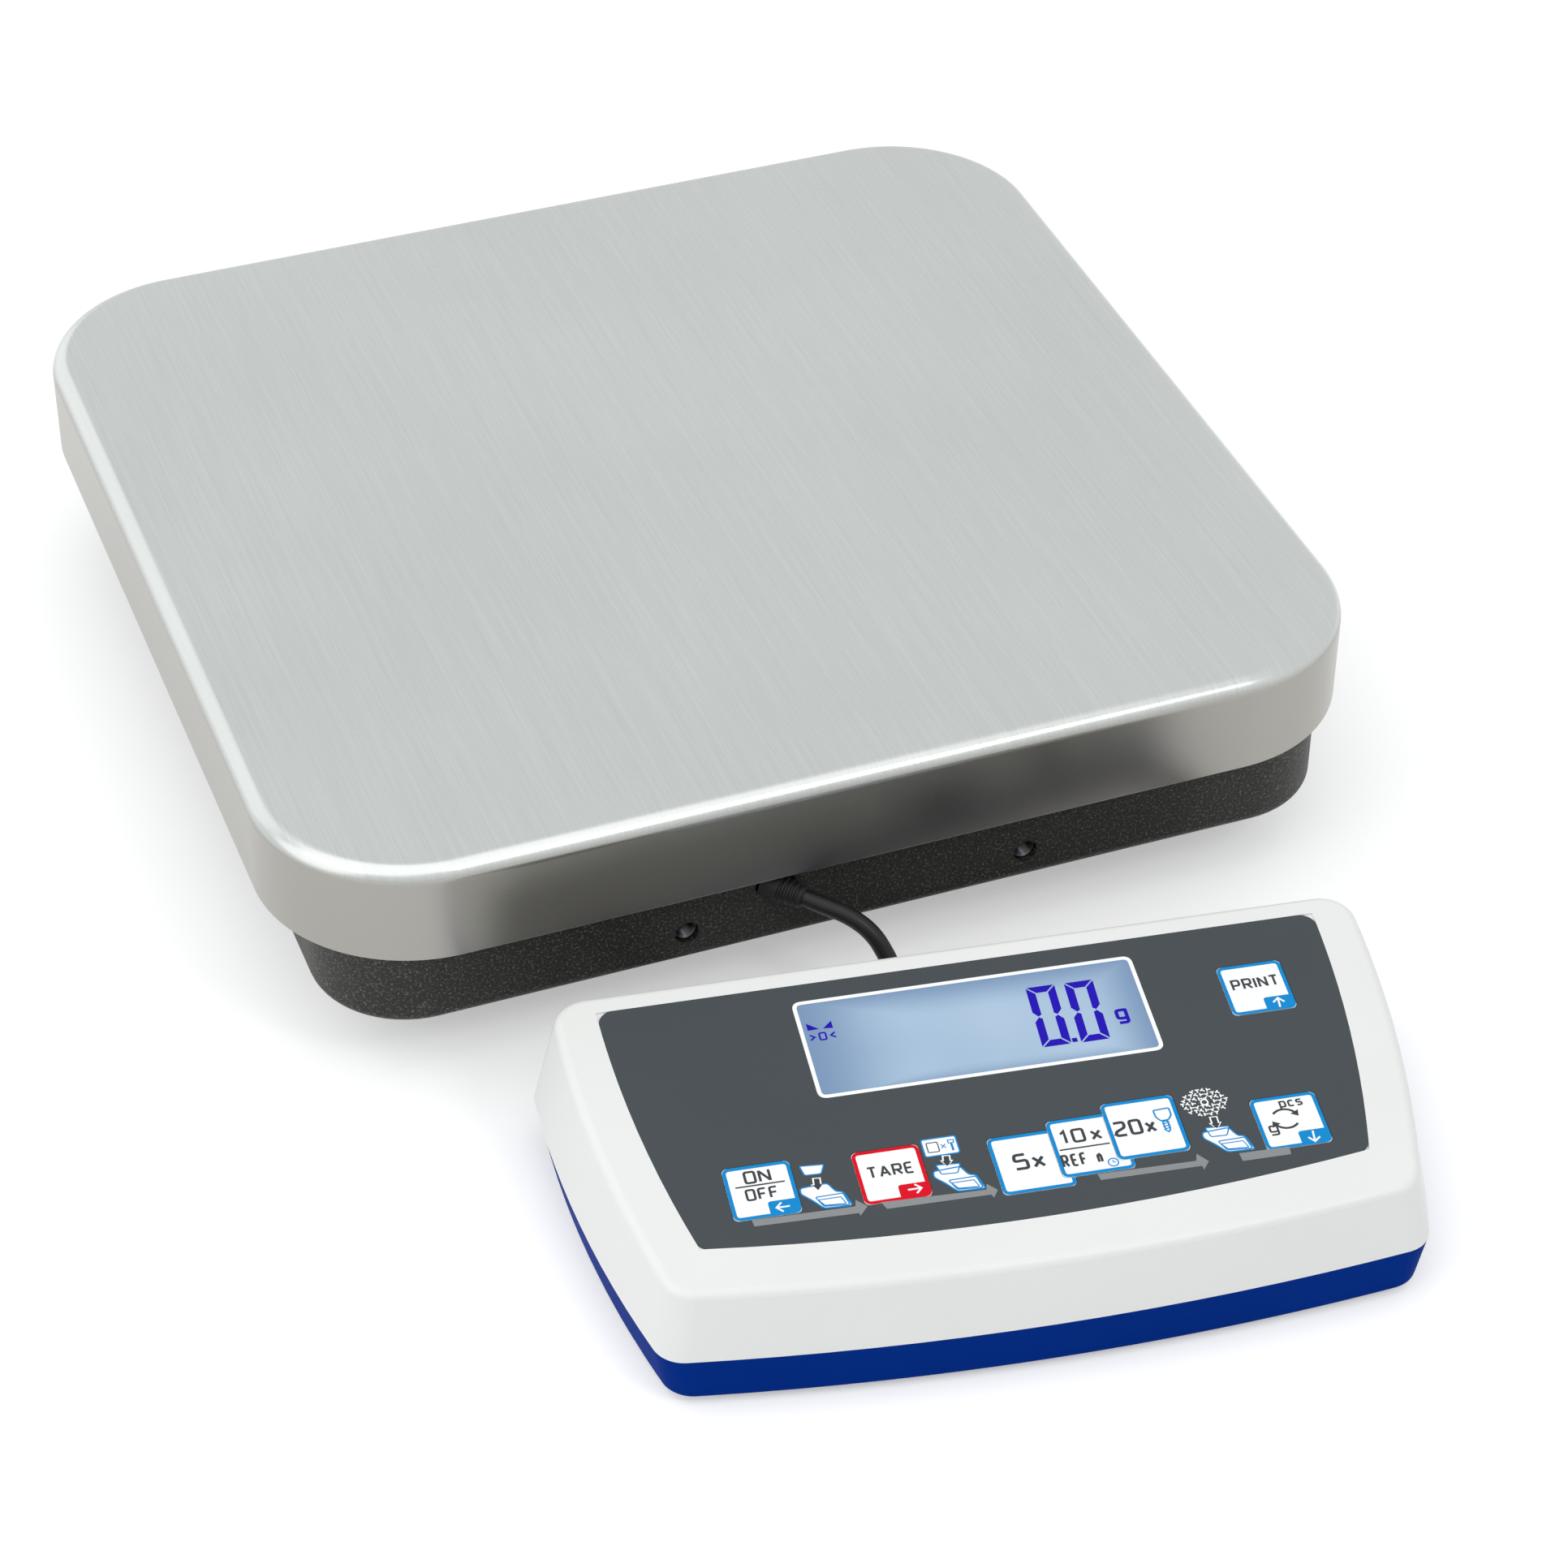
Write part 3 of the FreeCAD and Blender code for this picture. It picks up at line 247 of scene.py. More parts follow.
nodesIn = {
    "hammertone": ["base_housing"], "stainless": ["weighing_plate"], "darkSteel": ["front_inserts"],
    "aluminium": ["load_carrier", "load_cell", "load_cell_spacer_lower", "load_cell_spacer_upper"],
    "zinc": ["load_cell_bolts_lower", "load_cell_bolts_upper", "overload_stops", "housing_screws",
             "key_domes", "keypad_board_screws", "main_board_screws", "serial_socket"],
    "blackRubber": ["plate_buffers", "base_strain_relief", "display_strain_relief", "display_feet"],
    "blackPlastic": ["bubble_level_cup", "cable_tie", "power_jack", "battery_snap"],
    "vial": ["bubble_level_vial"], "innerLead": ["load_cell_lead"],
    "leadJacket": ["display_lead", "display_lead_tail", "display_lead_hank"],
    "whiteShell": ["display_upper_shell", "keypad_board_pillars"],
    "blueShell": ["display_lower_shell", "battery_cover"], "overlay": ["keypad_overlay"],
    "litDisplay": ["lcd_window", "lcd_glass"], "opal": ["lcd_backlight"],
    "board": ["keypad_board", "main_board"], "chip": ["main_board_parts"], "ribbon": ["ribbon_cable"],
    "sleeve": ["battery_block"],
}
finishOf = {node: finish for finish, nodes in nodesIn.items() for node in nodes}


def dress(piece, finish):
    piece.data.materials.clear()
    piece.data.materials.append(finishes[finish])
    return piece


for node, part in frame["nodes"].items():
    for family, finish in {"foot_sole": "blackRubber", "foot_screw": "zinc", "key_": "keyWhite"}.items():
        if node.startswith(family):
            finishOf.setdefault(node, finish)
    dress(part, finishOf[node])


def selectOnly(*pieces):
    bpy.ops.object.select_all(action="DESELECT")
    for piece in pieces:
        piece.select_set(True)
    bpy.context.view_layer.objects.active = pieces[0]


def pick(piece, kind, wanted):  # leaves the wanted edges or faces selected in edit mode
    selectOnly(piece)
    bpy.ops.object.mode_set(mode="EDIT")
    bpy.ops.mesh.select_mode(type=kind)
    bpy.ops.mesh.select_all(action="DESELECT")
    shape = bmesh.from_edit_mesh(piece.data)
    for part in shape.edges if kind == "EDGE" else shape.faces:
        if wanted(part):
            part.select_set(True)
    shape.select_flush_mode()
    bmesh.update_edit_mesh(piece.data)


def edit(piece, kind, wanted, operator, **settings):
    pick(piece, kind, wanted)
    operator(**settings)
    bpy.ops.object.mode_set(mode="OBJECT")


def applyModifier(piece, kind, **settings):
    selectOnly(piece)
    modifier = piece.modifiers.new(kind.lower(), kind)
    for name, value in settings.items():
        setattr(modifier, name, value)
    bpy.ops.object.modifier_apply(modifier=modifier.name)


def soften(piece, width, degrees=40):  # takes the edge off every corner sharper than so many degrees
    applyModifier(piece, "BEVEL", width=width, segments=2, limit_method="ANGLE", angle_limit=radians(degrees))


def cutBy(piece, cutter):
    applyModifier(piece, "BOOLEAN", object=cutter, operation="DIFFERENCE", solver="EXACT")
    bpy.data.objects.remove(cutter)


def closeUp(piece, gap=0.001):  # merges doubles and turns every face outwards
    selectOnly(piece)
    bpy.ops.object.mode_set(mode="EDIT")
    bpy.ops.mesh.select_all(action="SELECT")
    bpy.ops.mesh.remove_doubles(threshold=gap)
    bpy.ops.mesh.normals_make_consistent(inside=False)
    bpy.ops.object.mode_set(mode="OBJECT")


def smooth(piece, degrees=35):
    selectOnly(piece)
    bpy.ops.object.shade_smooth_by_angle(angle=radians(degrees))
    applyModifier(piece, "WEIGHTED_NORMAL", keep_sharp=True)


def joinPieces(pieces):
    selectOnly(*pieces)
    if len(pieces) > 1:
        bpy.ops.object.join()
    return bpy.context.object


def copyAt(piece, where):
    twin = piece.copy()
    twin.data = piece.data.copy()
    twin.data.transform(where)
    bpy.context.collection.objects.link(twin)
    return twin


def spread(piece, wheres):  # one modelled piece, copied to each of its places
    twins = [copyAt(piece, where) for where in wheres]
    bpy.data.objects.remove(piece)
    return joinPieces(twins)


def settle(piece, name, where, body, slot, *replaced):  # a finished piece goes to its place
    piece.name = name
    piece.data.name = name
    piece.data.transform(where)
    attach(piece, body)
    if replaced:
        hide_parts(*replaced)
    piece.select_set(False)


bodyOf = {node: body for body, nodes in frame["record"]["behaviour"]["bodies"].items() for node in nodes}
slotOf = {part["node"]: part["material_slot"] for part in frame["record"]["subparts"]}


def titled(node):
    return node.title().replace("_", "")


def standFor(piece, where, node, name=None):  # a piece takes its node's place, body and finish
    words = titled(node)
    if not piece.data.materials:
        dress(piece, finishOf[node])
    settle(piece, name or words[0].lower() + words[1:], where, bodyOf[node], slotOf[node], node)


def isUpright(edge):
    low, high = sorted(v.co.z for v in edge.verts)
    return high - low > 1e-4 and (edge.verts[0].co.xy - edge.verts[1].co.xy).length < 1e-4


def roundedBlock(middle, size, corner, segments=8):
    bpy.ops.object.select_all(action="DESELECT")
    bpy.ops.mesh.primitive_cube_add(size=1, location=middle, scale=size)
    bpy.ops.object.transform_apply(location=True, rotation=True, scale=True)
    piece = bpy.context.object
    edit(piece, "EDGE", isUpright, bpy.ops.mesh.bevel, offset=corner, offset_type="OFFSET", segments=segments,
         affect="EDGES")
    return piece


def turned(profile, sides=48):  # a round piece about Z through pairs of radius and height
    (radius, level), *rest = profile
    bpy.ops.object.select_all(action="DESELECT")
    bpy.ops.mesh.primitive_circle_add(vertices=sides, radius=radius, fill_type="NGON", location=(0, 0, level))
    bpy.ops.object.transform_apply(location=True, rotation=True, scale=True)
    piece = bpy.context.object
    pick(piece, "FACE", lambda face: True)
    for nextRadius, nextLevel in rest:
        bpy.ops.mesh.extrude_region_move(TRANSFORM_OT_translate={"value": (0, 0, nextLevel - level)})
        grow = nextRadius / radius
        bpy.ops.transform.resize(value=(grow, grow, 1), center_override=(0, 0, nextLevel))
        radius, level = nextRadius, nextLevel
    bpy.ops.object.mode_set(mode="OBJECT")
    closeUp(piece)
    return piece


def ridged(low, high, radius, depth, pitch):  # profile points of a thread or of gills between two heights
    points = []
    for turn in range(int((high - low) / pitch)):
        start = low + turn * pitch
        points += [(radius, start), (radius - depth, start + pitch * 0.45),
                   (radius - depth, start + pitch * 0.55)]
    return points


camera = {"lens": 99.46, "sensor": 36, "turn": -21.08, "height": 38.81, "roll": 0.46, "distance": 1275.8,
          "target": (11.0, -64.0, 0)}
turn, height, roll = (radians(camera[k]) for k in ("turn", "height", "roll"))
backwards = Vector((math.sin(turn) * math.cos(height), -math.cos(turn) * math.cos(height), math.sin(height)))
right = Vector((0, 0, 1)).cross(backwards).normalized()
upwards = backwards.cross(right)
rightRolled = right * math.cos(roll) + upwards * math.sin(roll)
upRolled = upwards * math.cos(roll) - right * math.sin(roll)
aim = baseFrame @ Vector(camera["target"])
bpy.ops.object.camera_add(location=aim + backwards * camera["distance"] / 1000)
eye = bpy.context.object
eye.rotation_euler = Matrix((rightRolled, upRolled, backwards)).transposed().to_euler()
eye.data.lens = camera["lens"]
eye.data.sensor_width = camera["sensor"]
bpy.context.scene.camera = eye


def seenRay(tree):  # 1 for what the camera sees, straight or in metal and glass
    ray = addNode(tree, "LightPath").outputs
    seen = maths(tree, "MAXIMUM", ray["Is Camera Ray"], ray["Is Glossy Ray"])
    return maths(tree, "MAXIMUM", seen, ray["Is Transmission Ray"])


floorLook = {"size": 14, "colour": "#E6E6E6", "lift": 0.4}
domeLook = {"colour": "#F2F4F5", "strength": 0.66}
bpy.ops.mesh.primitive_plane_add(size=floorLook["size"], location=(0, 0, 0))
floor = bpy.context.object
floor.name = "studioFloor"
floor.data.name = "studioFloor"
material, tree = newFinish("paperSweep")[:2]
paper = addNode(tree, "BsdfDiffuse", {"Color": hexColour(floorLook["colour"])})
lift = maths(tree, "MULTIPLY", seenRay(tree), floorLook["lift"])
shine = addNode(tree, "Emission", {"Color": grey(1), "Strength": lift})
closeFinish(material, "AddShader", {0: paper.outputs["BSDF"], 1: shine.outputs["Emission"]})
floor.data.materials.append(material)

world = bpy.data.worlds.new("studio")
bpy.context.scene.world = world
world.use_nodes = True
tree = world.node_tree
tree.nodes.clear()
dome = addNode(tree, "Background", {"Color": hexColour(domeLook["colour"]), "Strength": domeLook["strength"]})
white = addNode(tree, "Background", {"Color": grey(1), "Strength": 1.0})
shown = addNode(tree, "MixShader", {0: seenRay(tree), 1: dome.outputs["Background"],
                                    2: white.outputs["Background"]})
addNode(tree, "OutputWorld", {"Surface": shown.outputs["Shader"]})
bpy.context.scene.view_settings.view_transform = "Standard"

lampAim = Vector((0, 0, 0.03))
lamps = [
    {"name": "overhead", "at": (-0.5, -0.3, 1.9), "size": 2.8, "power": 15},
    {"name": "leftFill", "at": (-1.6, -0.2, 0.8), "size": 1.7, "power": 5},
    {"name": "backEdge", "at": (-0.9, 1.5, 0.7), "size": 1.9, "power": 4},
    {"name": "frontEdge", "at": (0.45, -1.1, 1.3), "size": 0.4, "power": 3},
]
for lamp in lamps:
    bpy.ops.object.light_add(type="AREA", location=lamp["at"])
    light = bpy.context.object
    light.name = lamp["name"]
    light.data.shape = "DISK"
    light.data.size = lamp["size"]
    light.data.energy = lamp["power"]
    light.rotation_euler = (Vector(lamp["at"]) - lampAim).to_track_quat("Z", "Y").to_euler()
print("camera, floor and lamps ready")

# Display lead: out of the base, down behind the display unit, twice round the hank, and into the display
lead = {"width": 5, "exit": (-24, -150, 39), "leaves": (0.722, -0.662, -0.2), "inside": 3, "straight": 8,
        "length": 0.67, "hankMiddle": (50, 49), "hankHalf": 44, "run": 26, "fold": 15, "layers": (7.6, 2.5)}
leadExit = Vector(lead["exit"])
leadWay = Vector(lead["leaves"]).normalized()
onBase = [leadExit - leadWay * lead["inside"], leadExit + leadWay * lead["straight"], Vector((-4, -166, 33)),
          Vector((1, -174, 22)), Vector((1.5, -184, 13))]
onDisplay = [(4, 34.8, 8.2)]
middleU, middleV = lead["hankMiddle"]
runStart, runEnd = middleU - lead["run"], middleU + lead["run"]
near, far = middleV - lead["fold"], middleV + lead["fold"]
foldReach = lead["fold"] / math.cos(radians(22.5))


def onFold(side, degrees, level):  # a point of the route round one end of the hank
    bend = radians(degrees)
    across = middleU + side * lead["hankHalf"] + foldReach * math.cos(bend)
    return (across, middleV + foldReach * math.sin(bend), level)


upper, lower = lead["layers"]
for level in (upper, lower):
    onDisplay += [(runStart, near, level), (runEnd, near, level)]
    onDisplay += [onFold(1, degrees, level) for degrees in (-67.5, -22.5, 22.5, 67.5)]
    onDisplay += [(runEnd, far, level), (runStart, far, level)]
    if level == upper:
        onDisplay += [onFold(-1, degrees, level + (lower - level) * (step + 0.5) / 4)
                      for step, degrees in enumerate((112.5, 157.5, 202.5, 247.5))]
onDisplay += [(2, 63.5, 2.5), (-22, 65, 2.5), (-46, 69, 2.5), (-64, 67, 3.8), (-74, 56, 8.8), (-74, 41, 9.3),
              (-74, 33.5, 9.3)]
route = [baseFrame @ point for point in onBase] + [displayFrame @ Vector(point) for point in onDisplay]
curve = bpy.data.curves.new("displayLead", "CURVE")
curve.dimensions = "3D"
spline = curve.splines.new("NURBS")
spline.points.add(len(route) - 1)
for point, place in zip(spline.points, route):
    point.co = (*place, 1)
spline.order_u = 3
spline.use_endpoint_u = True
spline.resolution_u = 8
curve.bevel_depth = lead["width"] / 2000
curve.bevel_resolution = 5
curve.use_fill_caps = True
curve.materials.append(finishes["leadJacket"])
leadPiece = bpy.data.objects.new("displayLead", curve)
bpy.context.collection.objects.link(leadPiece)
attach(leadPiece, "base")
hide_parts("display_lead", "display_lead_tail", "display_lead_hank")
print("lead ready")


# Weighing plate: a drawn tray turned upside down, with a rolled edge and a thin raw rim below
plate = {"size": (318, 308), "top": 75, "skirt": 30, "corner": 45, "edge": 5, "sheet": 1.2, "rim": 0.25}
tray = roundedBlock((0, 0, plate["top"] - plate["skirt"] / 2), (*plate["size"], plate["skirt"]),
                    plate["corner"], 28)
edit(tray, "FACE", lambda face: face.normal.z < -0.9, bpy.ops.mesh.delete, type="FACE")
edit(tray, "FACE", lambda face: face.normal.z > 0.9, bpy.ops.mesh.bevel, offset=plate["edge"], segments=10,
     affect="EDGES")
applyModifier(tray, "SOLIDIFY", thickness=plate["sheet"], offset=-1)
justAboveRim = plate["top"] - plate["skirt"] + 0.1
edit(tray, "FACE", lambda face: face.normal.z < -0.9 and face.calc_center_median().z < justAboveRim,
     bpy.ops.mesh.bevel, offset=plate["rim"], segments=2, affect="EDGES")
smooth(tray, 40)
standFor(tray, baseFrame, "weighing_plate")

# Two threaded inserts in the base's front wall
insert = {"x": (-50, 50), "height": 30, "face": -148.6, "outside": 3.48, "bore": 2.5, "thread": 0.35,
          "pitch": 0.8, "depth": 8.8}
profile = [(insert["outside"], -10), (insert["outside"], -0.4), (insert["outside"] - 0.4, 0),
           (insert["bore"] + 0.3, 0)]
profile += [(radius, -0.3 - level) for radius, level in
            ridged(0, insert["depth"], insert["bore"], insert["thread"], insert["pitch"])]
profile += [(0.4, -insert["depth"])]
sleeve = turned(profile, 40)
smooth(sleeve)
sleeve = spread(sleeve, [at(x, insert["face"], insert["height"]) @ tilted(90, "X") for x in insert["x"]])
standFor(sleeve, baseFrame, "front_inserts")
print("plate and inserts ready")


def screwPiece(screw):  # head up, with the underside of the head at 0
    head, high, shank, long = screw["head"], screw["headHigh"], screw["shank"], screw["long"]
    profile = [(shank * 0.7, -long), (shank * 0.88, 0.5 - long)]
    profile += [(radius, level) for radius, level in
                ridged(0.6 - long, -screw["plain"], shank, screw["thread"], screw["pitch"])]
    profile += [(shank, -screw["plain"]), (shank, 0), (head, 0), (head, high - screw["round"]),
                (head - screw["round"] * 0.4, high - screw["round"] * 0.3), (head - screw["round"], high)]
    piece = turned(profile, 32)
    if screw["drive"] == "hex":
        bpy.ops.mesh.primitive_cylinder_add(vertices=6, radius=head * 0.55, depth=high, location=(0, 0, high))
        cutters = [bpy.context.object]
    else:
        cutters = []
        for size in ((head * 1.2, head * 0.28, high), (head * 0.28, head * 1.2, high)):
            bpy.ops.mesh.primitive_cube_add(size=1, location=(0, 0, high), scale=size)
            bpy.ops.object.transform_apply(location=False, rotation=False, scale=True)
            cutters.append(bpy.context.object)
    for cutter in cutters:
        cutBy(piece, cutter)
    smooth(piece, 30)
    return piece


# Bolts and screws: one is made, then copied to each of its places
boltLook = {"head": 5, "headHigh": 5, "shank": 3, "plain": 4, "thread": 0.35, "pitch": 1, "round": 0.6,
            "drive": "hex"}
crossLook = {"plain": 0.4, "thread": 0.25, "pitch": 0.8, "round": 0.5, "drive": "cross"}
housingScrew = {**crossLook, "head": 2.7, "headHigh": 2.5, "shank": 1.5, "long": 18.25}
boardScrew = {**crossLook, "head": 2.5, "headHigh": 1.8, "shank": 1.25}
corners = [(-1, -1), (1, -1), (-1, 1), (1, 1)]
screwSets = [
    {"node": "load_cell_bolts_lower", "screw": {**boltLook, "long": 31}, "frame": baseFrame, "under": 52,
     "at": [(-55, 0), (-35, 0)]},
    {"node": "load_cell_bolts_upper", "screw": {**boltLook, "long": 28.5}, "frame": baseFrame, "under": 64,
     "at": [(35, 0), (55, 0)]},
    {"node": "overload_stops", "screw": {**boltLook, "long": 24.4}, "frame": baseFrame, "under": 52.4,
     "at": [(112 * x, 80 * y) for x, y in corners]},
    {"node": "housing_screws", "screw": housingScrew, "frame": displayFrame, "under": 6.25, "over": True,
     "at": [(-99, -8), (99, -8), (-62, -71), (62, -71)]},
    {"node": "main_board_screws", "screw": {**boardScrew, "long": 10.1}, "frame": displayFrame, "under": 19.1,
     "at": [(-13, -25), (87, -25), (-13, 15), (87, 15)]},
    {"node": "keypad_board_screws", "screw": {**boardScrew, "long": 3.1}, "frame": panelFrame, "under": -5.6,
     "over": True, "at": [(-80, 16), (58, 16), (-80, -28), (80, -28)]},
]
for kind in screwSets:
    facing = tilted(180 if kind.get("over") else 0, "X")
    group = spread(screwPiece(kind["screw"]), [at(x, y, kind["under"]) @ facing for x, y in kind["at"]])
    standFor(group, kind["frame"], kind["node"])
print("screws ready")

# Levelling feet: a fluted knob with its threaded stud, and a rubber sole with a gripping rim
foot = {"reach": (115, 112), "knob": 13, "knobLow": 9.6, "knobHigh": 19.6, "stud": 3.98, "top": 42,
        "thread": 0.4, "pitch": 1.25, "flute": 0.55}
knobTop = foot["knobHigh"]
knobLow = foot["knobLow"]
profile = [(11.5, knobLow), (foot["knob"] - 0.6, knobLow), (foot["knob"], knobLow + 0.6),
           (foot["knob"], knobTop - 0.8), (foot["knob"] - 0.8, knobTop), (foot["stud"] + 1.6, knobTop),
           (foot["stud"], knobTop)]
profile += ridged(knobTop + 1, foot["top"] - 1, foot["stud"], foot["thread"], foot["pitch"])
profile += [(foot["stud"], foot["top"] - 0.8), (foot["stud"] - 0.7, foot["top"])]
knob = turned(profile, 72)
edit(knob, "FACE", lambda face: abs(face.normal.z) < 0.1 and face.calc_center_median().xy.length > 12.8,
     bpy.ops.mesh.inset, thickness=0.22, depth=-foot["flute"], use_individual=True)
smooth(knob, 30)
pad = turned([(7, 0.9), (7.6, 0), (10.6, 0), (11.6, 0.5), (12, 1.5), (12, 3.6), (11.4, 4), (11.4, 4.6),
              (12, 5), (12, 8), (11, 9), (5, 9)], 56)
smooth(pad)
for (sideX, sideY), label in zip(corners, ("front_left", "front_right", "back_left", "back_right")):
    spot = at(foot["reach"][0] * sideX, foot["reach"][1] * sideY)
    standFor(copyAt(knob, spot), baseFrame, "foot_screw_" + label, "levellingScrew" + titled(label))
    standFor(copyAt(pad, spot), baseFrame, "foot_sole_" + label, "levellingSole" + titled(label))
bpy.data.objects.remove(knob)
bpy.data.objects.remove(pad)

# Rubber buffers under the plate, and the display unit's small feet
buffer = turned([(7.6, 64), (9, 64.8), (9, 67), (8.4, 67.5), (8.4, 68.2), (9, 68.7), (9, 72.6), (8, 73.7),
                 (5, 73.7), (4.2, 72.4), (2, 72.4)], 40)
smooth(buffer)
standFor(spread(buffer, [at(112 * x, 105 * y) for x, y in corners]), baseFrame, "plate_buffers")
stub = turned([(2.2, 0.5), (2.6, 0), (4.2, 0), (5, 0.7), (5, 2.5), (3, 2.5)], 32)
smooth(stub)
stub = spread(stub, [at(x, y) for x, y in ((-94, 20), (94, 20), (-84, -70), (84, -70))])
standFor(stub, displayFrame, "display_feet")

# Bubble of the round level, and the ring it is centred in
level = {"at": (70, -118), "top": 34, "ring": (2.9, 3.2), "ink": 0.06}
atLevel = baseFrame @ at(*level["at"])
bubble = turned([(0.8, 32.5), (1.9, 32.7), (2.5, 33.2), (1.9, 33.7), (0.8, 33.85)], 28)
smooth(bubble, 80)
settle(dress(bubble, "air"), "levelBubble", atLevel, "base", "vial_glass")
inner, outer = level["ring"]
inkTop = level["top"] + level["ink"]
mark = turned([(inner, level["top"]), (outer, level["top"]), (outer, inkTop), (inner, inkTop)], 40)
edit(mark, "FACE", lambda face: abs(face.normal.z) > 0.9 and face.calc_area() > 20,
     bpy.ops.mesh.bridge_edge_loops)
settle(dress(mark, "inkDark"), "levelRing", atLevel, "base", "vial_glass")
print("feet, buffers and level ready")


def filledShape(outlines, low, high):  # closed outlines, filled between, from one height to another
    curve = bpy.data.curves.new("shape", "CURVE")
    curve.dimensions = "2D"
    curve.fill_mode = "BOTH"
    curve.extrude = (high - low) / 2
    for outline in outlines:
        spline = curve.splines.new("POLY")
        spline.points.add(len(outline) - 1)
        for point, (x, y) in zip(spline.points, outline):
            point.co = (x, y, 0, 1)
        spline.use_cyclic_u = True
    piece = bpy.data.objects.new("shape", curve)
    bpy.context.collection.objects.link(piece)
    selectOnly(piece)
    bpy.ops.object.convert(target="MESH")
    piece = bpy.context.object
    piece.data.transform(at(0, 0, (low + high) / 2))
    closeUp(piece, 0.0005)
    return piece


def softCorners(points, radius, closed=True, steps=5):  # each corner becomes a short bend
    bent = []
    for number, point in enumerate(points):
        here = Vector(point)
        if not closed and number in (0, len(points) - 1):
            bent.append(here)
            continue
        before, after = Vector(points[number - 1]) - here, Vector(points[(number + 1) % len(points)]) - here
        start = here + before.normalized() * min(radius, before.length / 2)
        end = here + after.normalized() * min(radius, after.length / 2)
        for step in range(steps + 1):
            part = step / steps
            bent.append(start * (1 - part) ** 2 + here * 2 * part * (1 - part) + end * part ** 2)
    return bent


def stroke(points, width, closed=False):  # outlines of a line of even width with mitred corners
    places = [Vector(point) for point in points]
    count = len(places)
    sides = ([], [])
    for number, here in enumerate(places):
        into = (here - places[number - 1]).normalized() if closed or number else None
        out = (places[(number + 1) % count] - here).normalized() if closed or number < count - 1 else into
        into = into or out
        across = Vector((-into.y - out.y, into.x + out.x)).normalized()
        reach = width / 2 / max(across.dot(Vector((-into.y, into.x))), 0.5)
        sides[0].append(here + across * reach)
        sides[1].append(here - across * reach)
    return [sides[0], sides[1]] if closed else [sides[0] + sides[1][::-1]]


def outlined(points, radius, width):  # the line round a shape with soft corners
    return stroke(softCorners(points, radius), width, True)


def box(left, right, low, high):
    return [(left, low), (right, low), (right, high), (left, high)]


def moved(points, x, y):
    return [(px + x, py + y) for px, py in points]


def facingBack(x, height):  # X to the user's left, Y up, Z out of the back
    turn = Matrix(((-1, 0, 0, 0), (0, 0, 1, 0), (0, 1, 0, 0), (0, 0, 0, 1)))
    return displayFrame @ at(x, 30.5, height) @ turn


# Serial socket: plated flange and shell round nine pins, with a hex nut at each side
socket = {"x": 30, "middle": 25.35, "shell": [(-7.3, -3.9), (7.3, -3.9), (8.4, 3.9), (-8.4, 3.9)],
          "reach": 5.4, "pinPitch": 2.75, "pinRow": 1.4, "nutX": 12.5}
flange = roundedBlock((0, 0, -0.5), (30.6, 12.3, 1), 1.5)
body = roundedBlock((0, 0, -8), (20, 10.5, 14), 1)
shell = filledShape(outlined(socket["shell"], 2, 0.45), 0, socket["reach"])
core = filledShape([softCorners([(x * 0.93, y * 0.86) for x, y in socket["shell"]], 1.7)], 0, 1.6)
pin = turned([(0.5, 1.5), (0.5, 4.3), (0.4, 4.7), (0.15, 4.9)], 12)
nut = turned([(2.7, 0), (2.7, 3.6), (2.4, 4), (1.6, 4), (1.5, 3.7), (1.5, 1)], 6)
pins = [copyAt(pin, at((number - (count - 1) / 2) * socket["pinPitch"], row))
        for count, row in ((5, socket["pinRow"]), (4, -socket["pinRow"])) for number in range(count)]
nuts = [copyAt(nut, at(side * socket["nutX"], 0)) for side in (-1, 1)]
bpy.data.objects.remove(pin)
bpy.data.objects.remove(nut)
for part in (flange, body, shell, core, *nuts):
    soften(part, 0.15)
for finish, parts in {"zinc": (flange, shell, *nuts), "blackPlastic": (body, core), "gold": pins}.items():
    for part in parts:
        dress(part, finish)
socketPiece = joinPieces([flange, body, shell, core, *nuts, *pins])
smooth(socketPiece)
standFor(socketPiece, facingBack(socket["x"], socket["middle"]), "serial_socket")

# Power jack: a square moulding with a chamfered bore round its pin
jack = {"x": 68, "middle": 24.6, "size": (9, 11, 15.5), "bore": 2.75, "depth": 9}
block = roundedBlock((0, 0, -jack["size"][2] / 2), jack["size"], 0.6)
cutBy(block, turned([(jack["bore"], -jack["depth"]), (jack["bore"], -0.8), (jack["bore"] + 0.8, 0.01),
                     (jack["bore"] + 0.8, 1)], 40))
soften(block, 0.25, 50)
contact = turned([(1, -jack["depth"] - 0.5), (1, -1.8), (0.75, -1.2), (0.3, -1)], 20)
jackPiece = joinPieces([dress(block, "blackPlastic"), dress(contact, "zinc")])
smooth(jackPiece)
standFor(jackPiece, facingBack(jack["x"], jack["middle"]), "power_jack")

# Battery cover: a thin door with grip ribs and a raised arrow, which points to the display unit's back
door = {"middle": (-62, -5), "size": (60, 33), "low": 2.5, "thick": 1.5, "ribs": 6, "ribPitch": 1.82}
lid = roundedBlock((0, 0, door["thick"] / 2), (*door["size"], door["thick"]), 1.2)
ribs = [roundedBlock((0, -12 + number * door["ribPitch"], -0.2), (26, 0.9, 0.5), 0.4)
        for number in range(door["ribs"])]
raisedArrow = filledShape([[(-4, 6), (4, 6), (0, 11)]], -0.4, 0.1)
for part in (lid, *ribs, raisedArrow):
    soften(part, 0.15)
lid = joinPieces([lid, *ribs, raisedArrow])
smooth(lid)
standFor(lid, displayFrame @ at(*door["middle"], door["low"]), "battery_cover")

